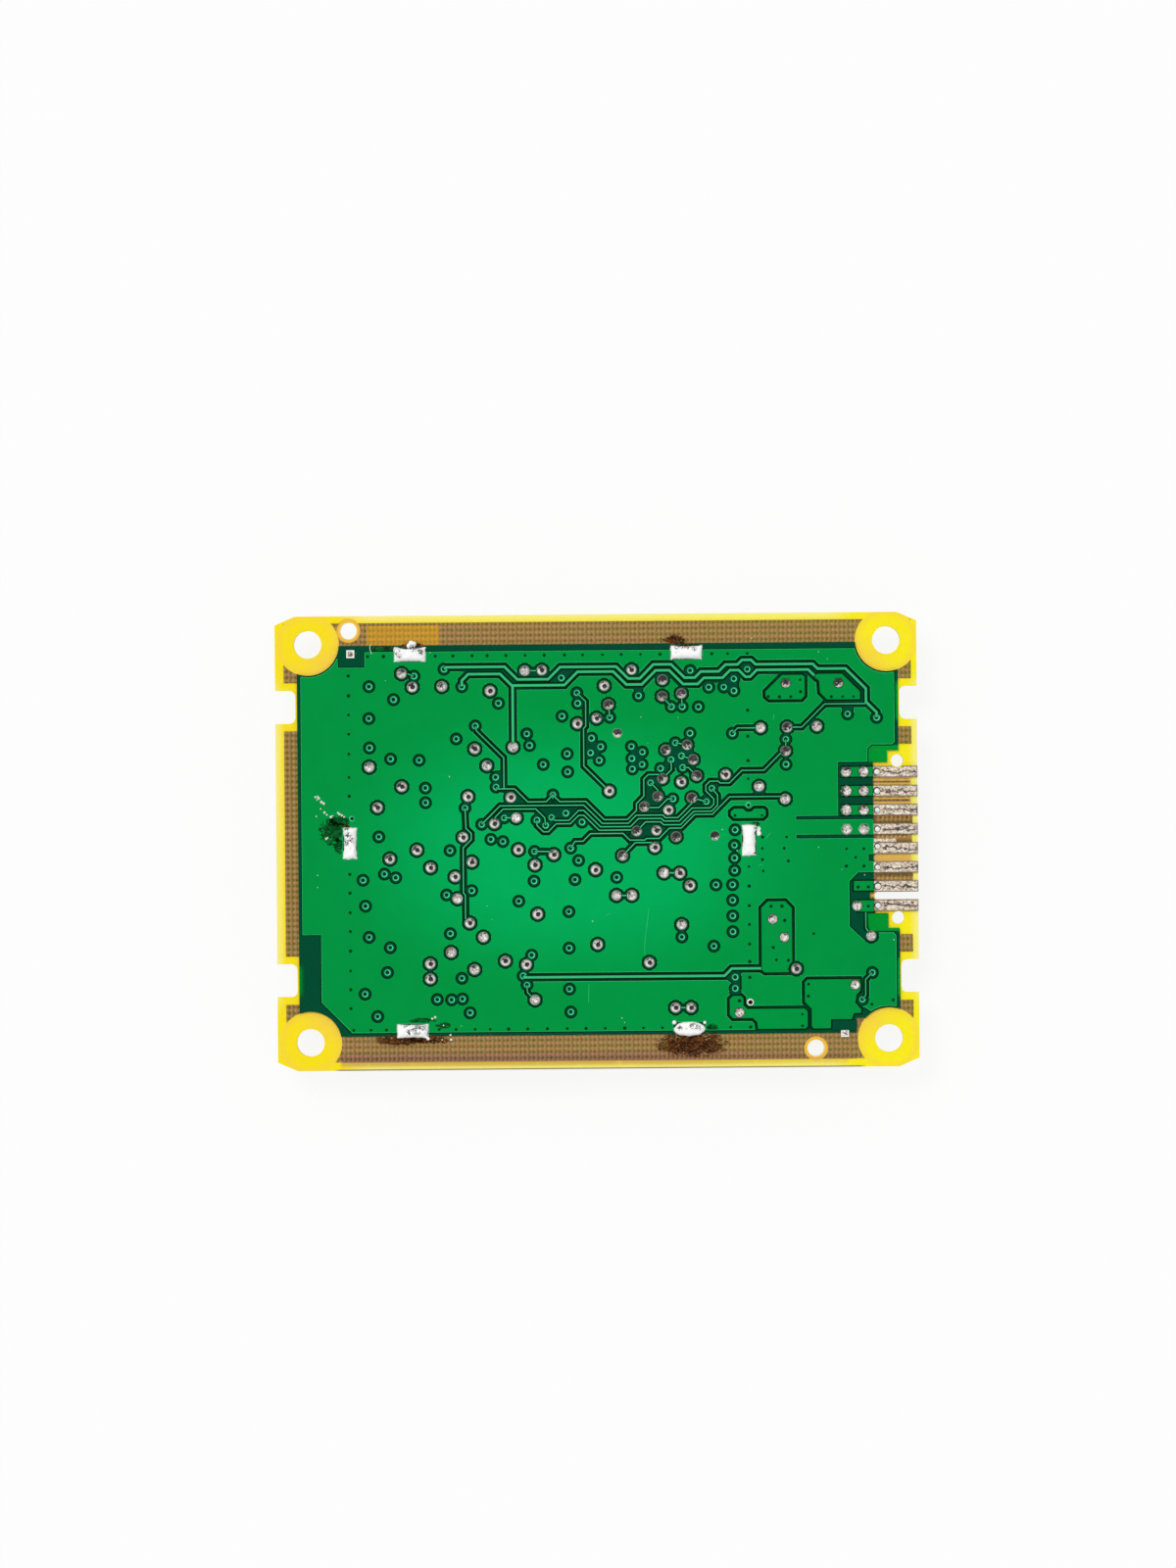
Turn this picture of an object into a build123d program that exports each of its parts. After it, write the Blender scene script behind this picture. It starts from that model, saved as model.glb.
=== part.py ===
"""LED control module: a card-edge circuit board with a soldered shield can.

The board lies component side down on its shield lid, solder side up.
X runs towards the contact fingers, Y across them, Z up through the board.
The origin is on the outer face of the lid, under the middle of the board.
The shapes are drawn about the middle of the four screw holes, which is
slightly off the middle of the board, and are moved over at the end.
All sizes are in millimetres.
"""
import os

from build123d import *

# ---- board ---------------------------------------------------------------
BOARD_LENGTH = 85.4
BOARD_WIDTH = 60.5
HOLE_SHIFT = 0.17           # middle of the screw holes from the middle of the board
LAMINATE = 1.6              # core, inner plane and prepreg together
FOIL = 0.07                 # one copper layer
MASK = 0.03                 # one coat of solder mask
PREPREG = 0.2
CORNER_RUN = 2.65           # corner chamfer along X
CORNER_RISE = 1.15          # and along Y
NOTCH_PAST_HOLES = 1.68     # clip notches in the short edges reach in to this far from the screw holes
NOTCH_WIDTH = 4.4
NOTCH_FROM_EDGE = 12.05     # middle of a notch from the long edge
NOTCH_FILLET = 0.8
LEFT = -BOARD_LENGTH / 2 - HOLE_SHIFT
RIGHT = BOARD_LENGTH / 2 - HOLE_SHIFT
TOP = BOARD_WIDTH / 2

# ---- holes ---------------------------------------------------------------
HOLE_FROM_END = 4.2         # screw holes from the short edges
HOLE_FROM_SIDE = 3.75       # and from the long edges
HOLE_DIAMETER = 3.7
HOLE_KEEPOUT = 4.15         # radius kept free of mask and copper
TOOLING_DIAMETER = 2.2
TOOLING_KEEPOUT = 1.6
TOOLING_FROM_LEFT = 9.82    # one hole near the upper left corner
TOOLING_FROM_TOP = 1.95
TOOLING_FROM_RIGHT = 13.78  # and one near the lower right corner
TOOLING_FROM_BOTTOM = 2.5
LOCATING_FROM_END = 2.68
LOCATING_FROM_MIDDLE = 10.45
LOCATING_DIAMETER = 1.6

# ---- card edge -----------------------------------------------------------
CONTACTS = 8
CONTACT_PITCH = 2.54
CONTACT_WIDTH = 1.5
CONTACT_MIDDLE = 0.1        # middle of the row, along Y
CONTACT_LENGTH = 5.93
STEPPED_CONTACT = 5         # this one has a wider inner half
STEP_LENGTH = 3.0
STEP_WIDTH = 1.25
KEY_AFTER = 7               # the keying slot follows this finger
KEY_WIDTH = 1.0
KEY_LENGTH = 5.83
KEY_FILLET = 0.4
CONTACT_START = RIGHT - CONTACT_LENGTH

# ---- copper and mask rules -----------------------------------------------
CLEARANCE = 0.4             # between nets
BUS_WIDTH = 0.42
SIGNAL_WIDTH = 0.24
PAD_RADIUS = 0.7
CONTACT_PAD_RADIUS = 0.78
CONTACT_PADS_BACK = (3.55, 1.25)    # columns of pads behind the first fingers
PADDED_CONTACTS = (1, 2, 3, 4)
VIA_RADIUS = 0.45
PLANE_FROM_LEFT = 1.16      # inner plane to the board's edges
PLANE_FROM_RIGHT = 0.78
PLANE_FROM_TOP = 0.95
PLANE_FROM_BOTTOM = 1.13
PLANE_CLEARANCE = 1.0       # and to notches and slots
PLANE_WINDOW = 2.2          # from the locating holes to the plane's window for the contacts
PLANE_TONGUES = [           # low Y, high Y and distance from the edge of its tongues between contacts
    (7.55, 7.75, 1.0), (5.05, 5.3, 1.0), (2.15, 3.12, 0.7), (0.15, 0.6, 1.5), (-5.45, -4.5, 0.7),
]
FINGER_STRIPS = [           # finger, length, and reach below and above the finger's middle
    (1, 4.25, 0.68, 0.68), (2, 4.25, 0.68, 0.68), (3, 4.25, 0.68, 0.68),
    (7, 2.7, 0.6, 0.75), (8, 2.2, 0.85, 0.7),
]
MASK_FROM_LEFT = 2.92
MASK_FROM_RIGHT = 2.53
MASK_FROM_TOP = 3.95
MASK_FROM_BOTTOM = 4.55
MASK_STEP = 1.35            # past the locating holes
MASK_CORNER_LENGTH = 8.43   # bare corner by the last finger, from the short edge
MASK_CORNER_WIDTH = 1.95
POUR_MARGIN = 0.5           # pour to the edge of the mask, left, right and below
POUR_MARGIN_TOP = 0.9
POUR_BACK = 0.25            # pour to the edge of the mask round the screw holes
WINDOW_ABOVE = 1.25         # bare board past the middles of the first and last fingers
WINDOW_BELOW = 1.05
SOLDER_RISE = 0.14
FIDUCIAL_SIDE = 1.05
FIDUCIAL_FROM_LEFT = 10.07
FIDUCIAL_FROM_TOP = 5.05
FIDUCIAL_FROM_RIGHT = 9.93
FIDUCIAL_FROM_BOTTOM = 4.5
ROUND_SIDES = 6             # small copper discs are hexagons
RING_SIDES = 16             # and wide rings have this many sides
HOLE_SIDES = 12             # and the small holes this many
FILLET_STEPS = 3            # straights in a small round corner

# ---- shield can ----------------------------------------------------------
SHIELD_HEIGHT = 5.0         # lid face to board
CAN_FROM_LEFT = 9.82        # middle of its walls from the edges of the board
CAN_FROM_RIGHT = 22.48
CAN_FROM_SIDE = 5.2
SHEET = 0.25
LID_PLAY = 0.05
LID_SKIRT = 2.8
SKIRT_SLOT = 0.8
FLANGE = 1.6
TAB_WIDTH = 3.0
TAB_FROM_END = 8.15         # outer tabs of the long walls from the short walls
TAB_STAND = 0.45            # above the mask
SLOT_PLAY = 0.1
JOINT_LENGTH = 4.3
JOINT_WIDTH = 1.95
JOINT_HEIGHT = 0.65
JOINT_SECTIONS = [          # rise, length and width of its levels, as parts of the whole
    (0.0, 1.0, 1.0), (0.55, 0.9, 0.7), (1.0, 0.76, 0.35),
]
FLARED_FOOT = [             # as parts of half the length and width
    (-1.0, 1.0), (-0.88, 0.9), (0.0, 0.82), (0.88, 0.9), (1.0, 1.0), (0.95, 0.0),
    (1.0, -1.0), (0.88, -0.9), (0.0, -0.82), (-0.88, -0.9), (-1.0, -1.0), (-0.95, 0.0),
]
OVAL_FOOT = [
    (-0.55, 1.0), (0.55, 1.0), (0.86, 0.72), (1.0, 0.25), (1.0, -0.25), (0.86, -0.72),
    (0.55, -1.0), (-0.55, -1.0), (-0.86, -0.72), (-1.0, -0.25), (-1.0, 0.25), (-0.86, 0.72),
]
WALL_LEFT = LEFT + CAN_FROM_LEFT
WALL_RIGHT = RIGHT - CAN_FROM_RIGHT
WALL_TOP = TOP - CAN_FROM_SIDE
CAN_LENGTH = WALL_RIGHT - WALL_LEFT
CAN_WIDTH = 2 * WALL_TOP
CAN_MIDDLE = (WALL_LEFT + WALL_RIGHT) / 2

# ---- levels --------------------------------------------------------------
FRONT = SHIELD_HEIGHT
CORE_BOTTOM = FRONT + MASK
REAR = CORE_BOTTOM + LAMINATE
PREPREG_BOTTOM = REAR - PREPREG
PLANE_BOTTOM = PREPREG_BOTTOM - FOIL
COPPER = REAR + MASK        # coated copper stands on the mask's first coat

# ---- places measured from the edges --------------------------------------
HOLE_X = BOARD_LENGTH / 2 - HOLE_FROM_END
HOLE_Y = TOP - HOLE_FROM_SIDE
MOUNTING_HOLES = [(i * HOLE_X, j * HOLE_Y) for i in (-1, 1) for j in (-1, 1)]
TOOLING_HOLES = [(LEFT + TOOLING_FROM_LEFT, TOP - TOOLING_FROM_TOP),
                 (RIGHT - TOOLING_FROM_RIGHT, TOOLING_FROM_BOTTOM - TOP)]
LOCATING_HOLES = [(RIGHT - LOCATING_FROM_END, i * LOCATING_FROM_MIDDLE) for i in (1, -1)]
FIDUCIALS = [(LEFT + FIDUCIAL_FROM_LEFT, TOP - FIDUCIAL_FROM_TOP),
             (RIGHT - FIDUCIAL_FROM_RIGHT, FIDUCIAL_FROM_BOTTOM - TOP)]

# ---- solder side ---------------------------------------------------------
# All the places below are spread from the real board to the size of this one.
REAL_BOARD = (85.4, 60.5)
# Bare soldered pads in the pour, each with a clear ring round it.
TEST_PADS = [
    (-26.0, 22.55), (-24.6, 20.75), (-20.65, 20.8), (-14.25, 20.15), (-9.6, 22.8), (-7.35, 22.85),
    (4.6, 22.8), (0.95, 20.7), (8.7, 21.45), (8.65, 19.25), (11.2, 19.6), (1.5, 18.2), (-0.1, 16.4),
    (-2.65, 15.7), (-16.35, 12.45), (-11.25, 12.65), (-14.75, 10.2), (9.05, 12.1), (11.9, 12.75),
    (12.7, 10.8), (-30.4, 10.15), (-26.1, 7.5), (8.6, 8.3), (11.1, 7.85), (13.15, 8.65),
    (17.0, 8.75), (21.7, 14.95), (25.25, 15.0), (29.2, 15.1), (25.0, 11.85), (21.45, 7.15),
    (24.9, 5.45), (1.5, 6.7), (7.95, 5.95), (12.5, 5.7), (9.35, 4.1), (6.15, 4.6), (-29.35, 4.75),
    (-17.3, 6.1), (-11.6, 5.95), (-10.9, 3.25), (-13.8, 2.5), (-18.0, 0.7), (5.1, 1.35),
    (7.75, 1.4), (10.35, 0.55), (-24.15, -0.95), (-27.75, -2.1), (-22.35, -3.3), (-16.85, -2.6),
    (-19.1, -4.55), (-10.65, -1.0), (-8.45, -3.05), (-5.95, -1.7), (3.2, -1.9), (7.5, -0.85),
    (-0.4, -3.75), (8.7, -4.25), (10.8, -4.3), (12.15, -5.95), (2.35, -7.2), (4.4, -7.2),
    (-18.8, -7.45), (-8.15, -9.6), (-17.2, -10.7), (-15.4, -12.6), (-19.7, -14.6), (-22.5, -16.1),
    (-22.5, -18.1), (-16.6, -16.9), (-12.5, -15.8), (-9.7, -16.3), (-8.6, -21.0), (-0.2, -13.7),
    (6.65, -16.15), (11.0, -11.15), (26.2, -17.15), (10.1, -22.2), (12.15, -22.2), (36.2, -12.85),
]
# Bare soldered pads that belong to the copper they stand on.
JOINED_PADS = [
    (2.65, 14.4), (15.5, 0.65), (25.1, 20.85), (32.1, 20.85), (23.1, -10.5), (24.65, -12.95),
    (18.6, -22.9), (34.0, -19.35), (34.4, -8.85),
]
# Vias with a clear ring in the pour at which a routed track ends.
TRACK_VIAS = [
    (-20.35, 23.1), (-18.0, 20.75), (37.15, 16.2), (-10.15, -17.8), (-24.35, 22.2), (-2.7, 19.8),
    (1.65, 16.5), (9.85, 17.85), (11.3, 17.85), (-16.25, 15.5), (-13.55, 7.35), (-6.0, 6.25),
    (-15.5, 2.4), (-7.0, 2.2), (-12.5, 3.25), (-8.15, 2.9), (-6.2, 3.25), (15.15, 6.95),
    (-3.7, -0.85), (9.95, 5.6), (9.75, 10.8), (7.0, 7.75), (10.35, 13.05), (11.15, 11.3),
    (11.3, 9.75), (14.4, 5.2), (17.95, 14.25), (25.05, 13.4), (-17.7, 4.6), (-8.5, -1.25),
    (-9.65, -19.0), (36.3, -17.75), (34.95, -21.3),
]
BUS_TRACKS = [
    [(-20.35, 23.1), (-20.0, 23.35), (-12.3, 23.35), (-10.6, 21.65), (-6.5, 21.65), (-4.9, 23.25),
     (2.55, 23.25), (4.15, 21.65), (5.7, 21.65), (7.5, 23.5), (9.85, 23.5), (11.65, 21.7),
     (13.0, 21.7), (13.8, 22.5), (16.2, 22.5), (17.1, 23.4), (18.7, 23.4), (19.3, 24.0),
     (20.5, 24.0), (21.1, 23.4), (28.7, 23.4), (29.35, 22.75), (33.05, 22.75), (35.75, 20.05),
     (35.75, 18.3), (37.15, 16.9), (37.15, 16.2)],
    [(-18.0, 20.75), (-18.0, 21.55), (-17.15, 22.4), (-12.9, 22.4), (-11.35, 20.85), (-4.35, 20.85),
     (-2.6, 22.6), (2.15, 22.6), (3.9, 20.85), (5.95, 20.85), (7.8, 22.7), (9.6, 22.7),
     (11.45, 20.85), (13.4, 20.85), (14.2, 21.65), (16.7, 21.65), (17.7, 22.65), (18.85, 22.65),
     (19.75, 21.75), (20.35, 21.75), (21.25, 22.65), (28.1, 22.65), (29.4, 21.35)],
    [(-11.25, 20.9), (-11.25, 12.65)],
    [(-10.15, -17.8), (-9.9, -18.0), (16.65, -18.0), (17.6, -17.05), (21.4, -17.05), (22.0, -17.3)],
]
SIGNAL_TRACKS = [
    [(-24.35, 22.2), (-25.2, 22.5), (-26.0, 22.55)],
    [(-9.6, 22.8), (-7.35, 22.8)],
    [(-2.7, 19.8), (-1.55, 18.65), (-1.55, 15.35), (-1.85, 15.05), (-1.85, 10.05), (1.5, 6.7)],
    [(1.5, 18.2), (1.65, 16.5)],
    [(8.65, 19.25), (9.85, 17.85)],
    [(11.2, 19.6), (11.3, 17.85)],
    [(-16.25, 15.5), (-16.1, 14.85), (-12.5, 11.25), (-12.5, 7.1)],
    [(-13.55, 7.35), (-13.3, 7.1), (-11.1, 7.1), (-9.35, 5.35), (-6.9, 5.35), (-6.0, 6.25),
     (-5.1, 5.35), (-1.65, 5.35), (0.8, 2.9), (3.9, 2.9), (5.1, 4.1), (5.1, 5.0), (6.1, 6.0),
     (6.1, 8.25), (6.7, 8.85), (8.05, 8.85), (8.6, 8.3)],
    [(-15.5, 2.4), (-13.05, 4.85), (-1.9, 4.85), (0.55, 2.4), (4.0, 2.4), (5.05, 3.45),
     (8.6, 3.45), (8.95, 3.1), (10.6, 3.1), (12.5, 5.0), (12.5, 5.7)],
    [(-13.8, 2.5), (-13.7, 3.35), (-12.65, 4.4), (-8.3, 4.4), (-7.1, 3.2), (-7.0, 2.2)],
    [(-12.5, 3.25), (-10.9, 3.25)],
    [(-8.15, 2.9), (-8.15, 2.2), (-7.3, 1.35), (-6.65, 1.35), (-5.6, 2.4), (-3.7, 2.4),
     (-2.6, 3.5), (-1.9, 3.5), (0.1, 1.5), (5.1, 1.5)],
    [(-6.2, 3.25), (-5.75, 2.85), (-3.9, 2.85), (-2.6, 4.15), (-1.9, 4.15), (0.3, 1.95),
     (4.3, 1.95), (5.35, 3.0), (8.4, 3.0), (8.75, 2.65), (10.8, 2.65), (12.5, 4.35),
     (14.9, 4.35), (15.4, 4.85), (15.4, 5.55), (14.35, 6.6), (14.35, 7.35), (14.9, 7.9),
     (16.0, 7.9), (16.25, 7.65), (17.5, 7.65), (19.15, 9.3), (22.1, 9.3), (24.6, 11.8)],
    [(5.1, 1.35), (6.3, 2.55), (8.3, 2.55), (8.7, 2.15), (10.95, 2.15), (12.7, 3.9),
     (15.1, 3.9), (15.9, 4.7), (15.9, 6.05), (15.15, 6.95)],
    [(-3.7, -0.85), (-3.1, 0.05), (-2.05, 0.05), (-1.05, 1.05), (3.3, 1.05), (4.2, 0.15),
     (6.2, 0.15), (6.4, 0.35), (8.1, 0.35), (9.45, 1.7), (11.05, 1.7), (12.85, 3.5),
     (15.2, 3.5), (17.5, 5.8), (24.3, 5.8), (24.9, 5.45)],
    [(3.2, -1.9), (4.9, -0.2), (7.1, -0.2), (7.5, -0.85)],
    [(6.15, 4.45), (8.1, 4.45), (9.25, 5.6), (9.95, 5.6)],
    [(9.75, 10.8), (9.8, 9.5), (8.6, 8.3)],
    [(7.0, 7.75), (7.95, 6.8), (7.95, 5.95)],
    [(10.35, 13.05), (11.9, 12.75)],
    [(11.15, 11.3), (12.7, 10.8)],
    [(11.3, 9.75), (12.05, 9.75), (13.15, 8.65)],
    [(12.5, 5.7), (14.4, 5.2)],
    [(17.95, 14.25), (18.65, 14.95), (21.7, 14.95)],
    [(25.25, 15.0), (27.2, 15.0), (30.25, 18.05), (35.7, 18.05)],
    [(25.0, 11.85), (25.05, 13.4)],
    [(-17.7, 4.6), (-17.6, 1.9), (-16.9, 1.2), (-16.9, 0.4), (-18.0, -0.7), (-18.0, -6.7),
     (-17.75, -7.0), (-17.75, -10.1), (-17.2, -10.7)],
    [(-8.5, -1.25), (-5.95, -1.3)],
    [(8.7, -4.25), (10.8, -4.25)],
    [(2.35, -7.2), (4.4, -7.2)],
    [(-9.65, -19.0), (-9.6, -20.0), (-8.6, -21.0)],
    [(10.1, -22.2), (12.15, -22.2)],
    [(35.5, -9.4), (35.5, -11.8), (36.2, -12.85)],
    [(36.3, -17.75), (35.4, -18.65), (35.4, -20.75), (34.95, -21.3)],
]
# Where neighbouring clear rings and tracks leave no pour between them.
CLEARINGS = [
    [(-10.3, 22.0), (-6.6, 22.0), (-7.4, 22.9), (-9.6, 22.9)],
    [(-6.2, 21.3), (-4.4, 21.2), (-2.8, 22.8), (-5.0, 22.9)],
    [(4.8, 19.6), (6.2, 19.6), (6.2, 20.6), (4.8, 20.6)],
    [(14.3, 20.6), (15.1, 21.0), (16.6, 21.0), (16.9, 20.0), (18.0, 19.7), (18.9, 20.2), (18.9, 22.3),
     (18.0, 22.3), (17.0, 21.4), (14.3, 21.4)],
    [(18.9, 23.0), (19.8, 22.0), (20.3, 22.0), (21.1, 23.0), (20.4, 23.7), (19.5, 23.7)],
    [(-13.7, 7.0), (-12.5, 7.0), (-12.5, 9.6), (-13.7, 9.6)],
    [(-12.6, 5.0), (-9.2, 5.0), (-11.1, 6.9), (-12.6, 6.7)],
    [(-1.7, 10.9), (-0.4, 10.9), (0.4, 11.0), (0.4, 12.8), (-0.8, 14.0), (-1.7, 14.6)],
    [(4.5, 9.6), (5.9, 10.2), (5.9, 12.0), (4.5, 12.8)],
    [(8.3, 9.9), (8.6, 9.2), (9.9, 9.0), (10.3, 9.7), (10.9, 9.8), (11.2, 9.2), (13.0, 9.2),
     (13.0, 10.2), (12.9, 12.0), (12.3, 13.6), (10.3, 13.2), (9.3, 12.6), (9.0, 10.9)],
    [(5.2, 3.3), (10.2, 3.3), (10.2, 4.3), (8.9, 6.0), (7.9, 8.6), (6.2, 8.6), (6.2, 5.8), (5.2, 4.6)],
    [(12.9, 5.0), (15.8, 4.8), (16.2, 7.8), (14.2, 7.8), (14.2, 6.4)],
    [(-15.3, 2.2), (-13.8, 2.2), (-12.5, 2.8), (-10.9, 3.0), (-10.9, 4.1), (-12.9, 4.4), (-15.3, 2.8)],
    [(-8.6, 3.2), (-8.3, 2.4), (-7.3, 1.6), (-6.6, 1.6), (-5.7, 2.6), (-3.9, 2.6), (-2.0, 4.5),
     (-8.5, 4.5)],
    [(4.3, 0.5), (8.1, 0.6), (9.2, 1.9), (6.2, 2.2), (4.3, 1.2)],
    [(3.9, -0.4), (7.0, -0.4), (7.0, 0.2), (4.2, 0.2)],
    [(17.1, -20.4), (18.9, -20.4), (18.9, -17.4), (17.8, -17.4), (16.7, -18.4), (17.5, -19.0)],
    [(32.5, 16.7), (34.15, 16.7), (34.15, 17.9), (32.5, 17.9)],
    [(20.55, 6.0), (22.35, 6.0), (22.35, 6.8), (20.55, 6.8)],
]
# Copper outlines that are nets of their own, kept clear of the pour.
INPUT_ISLAND = [
    (22.35, 19.1), (22.85, 18.65), (27.2, 18.65), (27.65, 19.15), (27.65, 21.75), (27.3, 22.0),
    (24.6, 22.0), (22.35, 19.8),
]
SUPPLY_ISLAND = [
    (29.6, 19.55), (30.55, 18.6), (35.0, 18.6), (35.0, 19.7), (32.6, 22.1), (29.2, 22.1),
    (28.85, 21.75), (29.5, 21.1),
]
SWITCH_ISLAND = [
    (21.55, -9.0), (22.45, -8.1), (24.8, -8.1), (25.7, -9.05), (25.7, -17.65), (22.0, -17.65),
    (21.55, -17.3),
]
FILTER_ISLAND = [
    (17.6, 3.35), (18.05, 2.9), (21.95, 2.9), (22.35, 3.3), (22.35, 3.95), (22.05, 4.25),
    (20.8, 4.25), (20.35, 3.85), (19.75, 3.85), (19.3, 4.25), (18.1, 4.25), (17.6, 3.85),
]
OUTPUT_ISLAND = [
    (17.25, -21.1), (17.7, -20.65), (18.8, -20.65), (19.15, -21.0), (19.15, -21.9), (19.65, -22.4),
    (27.3, -22.4), (27.7, -22.85), (27.7, -24.8), (27.4, -25.15), (21.0, -25.15), (20.9, -24.25),
    (20.35, -23.7), (17.7, -23.7), (17.25, -23.2),
]
RETURN_ISLAND = [
    (27.25, -18.95), (27.65, -18.55), (34.6, -18.55), (34.85, -19.4), (34.7, -20.2), (34.2, -20.7),
    (34.05, -21.7), (34.85, -22.6), (34.75, -23.15), (33.85, -23.15), (33.55, -23.95),
    (30.8, -23.95), (30.75, -25.15), (28.4, -25.15), (28.15, -24.85), (28.15, -22.5),
    (27.25, -21.6),
]
ISLANDS = [INPUT_ISLAND, SUPPLY_ISLAND, SWITCH_ISLAND, FILTER_ISLAND, OUTPUT_ISLAND, RETURN_ISLAND]
POUR_CUTS = [               # pieces taken from the pour's rectangle
    [(-44, -12.1), (-36.95, -12.1), (-36.95, -21.1), (-31.95, -26.2), (-31.95, -32), (-44, -32)],
    [(-34.5, 23.35), (-30.9, 23.35), (-30.9, 32), (-34.5, 32)],
    [(44, -4.35), (34.5, -4.35), (33.3, -5.55), (33.3, -11.6), (35.3, -13.5), (36.2, -12.45),
     (39.2, -12.45), (39.5, -12.85), (44, -12.85)],
    [(31.9, 3.15), (31.9, 10.35), (35.85, 10.35), (35.85, 12.1), (36.4, 12.65), (39.2, 12.65),
     (39.5, 12.95), (44, 12.95), (44, -4.4), (36.6, -4.4), (36.6, 3.15)],
    [(26.3, 2.65), (36.7, 2.65), (36.7, 3.2), (26.3, 3.2)],
    [(26.3, 0.15), (36.7, 0.15), (36.7, 0.7), (26.3, 0.7)],
    [(35.9, -2.95), (36.7, -2.95), (36.7, -1.95), (35.9, -1.95)],
    [(33.5, -32), (33.5, -22.8), (35.3, -22.3), (36.0, -22.8), (44, -30)],
]

# ---- component side ------------------------------------------------------
LEAD_THICK = 0.15
LEAD_WIDTH = 0.4
BODY_STAND = 0.1            # moulded bodies with leads clear the board
BODY_CHAMFER = 0.25
QUAD_PLACES = [(8.5, 3.5)]
QUAD_SIDE = 10.0
QUAD_HEIGHT = 1.4
QUAD_LEAD_COUNT = 8              # on each side
QUAD_PITCH = 1.0
LEAD_REACH = 1.05
DRIVER_PLACES = [(-14.0, 8.5), (-14.0, -6.0), (-2.5, -12.0)]
DRIVER_SIZE = (4.9, 3.9, 1.4)
DRIVER_LEAD_COUNT = 4            # on each long side
DRIVER_PITCH = 1.27
CRYSTAL_PLACES = [(-3.0, 15.5)]
CRYSTAL_SIZE = (11.0, 4.7, 3.4)
CRYSTAL_BRIM = 0.8
CAPACITOR_SIZE = (2.0, 1.25, 1.0)
RESISTOR_SIZE = (2.0, 1.25, 0.55)
CAPACITOR_PLACES = [
    (-24.0, 8.0), (-24.0, 14.0), (-6.0, 4.0), (-6.0, -2.0), (12.0, 17.5), (12.0, -9.0), (1.0, -18.0),
    (-20.0, -16.0),
]
RESISTOR_PLACES = [
    (-28.0, 8.0), (-28.0, 14.0), (-9.0, 20.0), (-14.0, 1.5), (6.0, 14.0), (4.0, -9.5), (-9.0, -19.0),
    (-27.0, -16.0),
]
# Beside the can: middles in the strip between its wall and the contacts.
STRIP_MIDDLE = (WALL_RIGHT + CONTACT_START) / 2
CHOKE_PLACES = [(STRIP_MIDDLE, -1.5), (STRIP_MIDDLE, 9.0)]
CHOKE_SIDE = 7.0
CHOKE_HEIGHT = 3.6
CHOKE_CORNER = 1.6
CHOKE_BORE = 2.7
CHOKE_DRUM = 2.4
SWITCH_FROM_CAN = 4.45
SWITCH_FROM_CONTACTS = 3.9
SWITCH_PLACES = [(WALL_RIGHT + SWITCH_FROM_CAN, -13.0), (CONTACT_START - SWITCH_FROM_CONTACTS, -20.0)]
SWITCH_SIZE = (6.5, 6.1, 2.2)
SWITCH_TAB = (5.2, 1.3, 0.5)
SWITCH_LEAD = (0.8, 2.6, 0.5)
SWITCH_LEAD_PITCH = 4.6
DIODE_FROM_CAN = 5.2
DIODE_PLACES = [(STRIP_MIDDLE, 16.0), (WALL_RIGHT + DIODE_FROM_CAN, -23.6)]
DIODE_SIZE = (6.0, 3.6, 2.2)
TANTALUM_FROM_CONTACTS = 4.3
TANTALUM_PLACES = [(STRIP_MIDDLE, 22.2), (CONTACT_START - TANTALUM_FROM_CONTACTS, -6.9)]
TANTALUM_SIZE = (6.0, 3.2, 2.8)
END_TERMINAL = 1.0          # length of a folded end terminal


# ---- helpers -------------------------------------------------------------
def drawn(points):
    """Places drawn for the board of the real module, spread to the size of this one."""
    length, width = REAL_BOARD
    return [(x * BOARD_LENGTH / length, y * BOARD_WIDTH / width) for x, y in points]


def area(points):
    """Flat face with straight sides."""
    return Polygon(*points, align=None)


def block(left, bottom, right, top):
    """Flat rectangle between two corners."""
    return area([(left, bottom), (right, bottom), (right, top), (left, top)])


def ribbon(points, width):
    """Flat strip of even width along a polyline, mitred at its corners."""
    path = [Vector(*point) for point in points]
    headings = [(after - before).normalized() for before, after in zip(path, path[1:])]
    one_side, other_side = [], []
    for place, here in enumerate(path):
        before = headings[max(place - 1, 0)]
        after = headings[min(place, len(headings) - 1)]
        mitre = before.rotate(Axis.Z, 90) + after.rotate(Axis.Z, 90)
        reach = mitre * (width / (2 * (1 + before.dot(after))))
        one_side.append(tuple(here + reach)[:2])
        other_side.append(tuple(here - reach)[:2])
    return area(one_side + other_side[::-1])


def discs(places, radius, sides=0):
    """Flat discs, true circles unless a number of sides is given."""
    shape = RegularPolygon(radius, sides) if sides else Circle(radius)
    return [Pos(x, y) * shape for x, y in places]


def rounded(length, width, fillet):
    """Flat rectangle whose round corners are drawn as a few short straights."""
    points = []
    for quarter, (i, j) in enumerate([(1, 1), (-1, 1), (-1, -1), (1, -1)]):
        middle = Vector(i * (length / 2 - fillet), j * (width / 2 - fillet))
        for step in range(FILLET_STEPS + 1):
            spoke = Vector(fillet, 0).rotate(Axis.Z, 90 * (quarter + step / FILLET_STEPS))
            points.append(tuple(middle + spoke)[:2])
    return area(points)


def plate(face, bottom, thickness):
    return Pos(0, 0, bottom) * extrude(face, thickness, dir=(0, 0, 1))


def contact_y(number):
    return CONTACT_MIDDLE + CONTACT_PITCH * ((CONTACTS + 1) / 2 - number)


def contact_pads():
    """Soldered pads behind the first four fingers."""
    return [(CONTACT_START - back, contact_y(number))
            for number in PADDED_CONTACTS for back in CONTACT_PADS_BACK]


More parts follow.
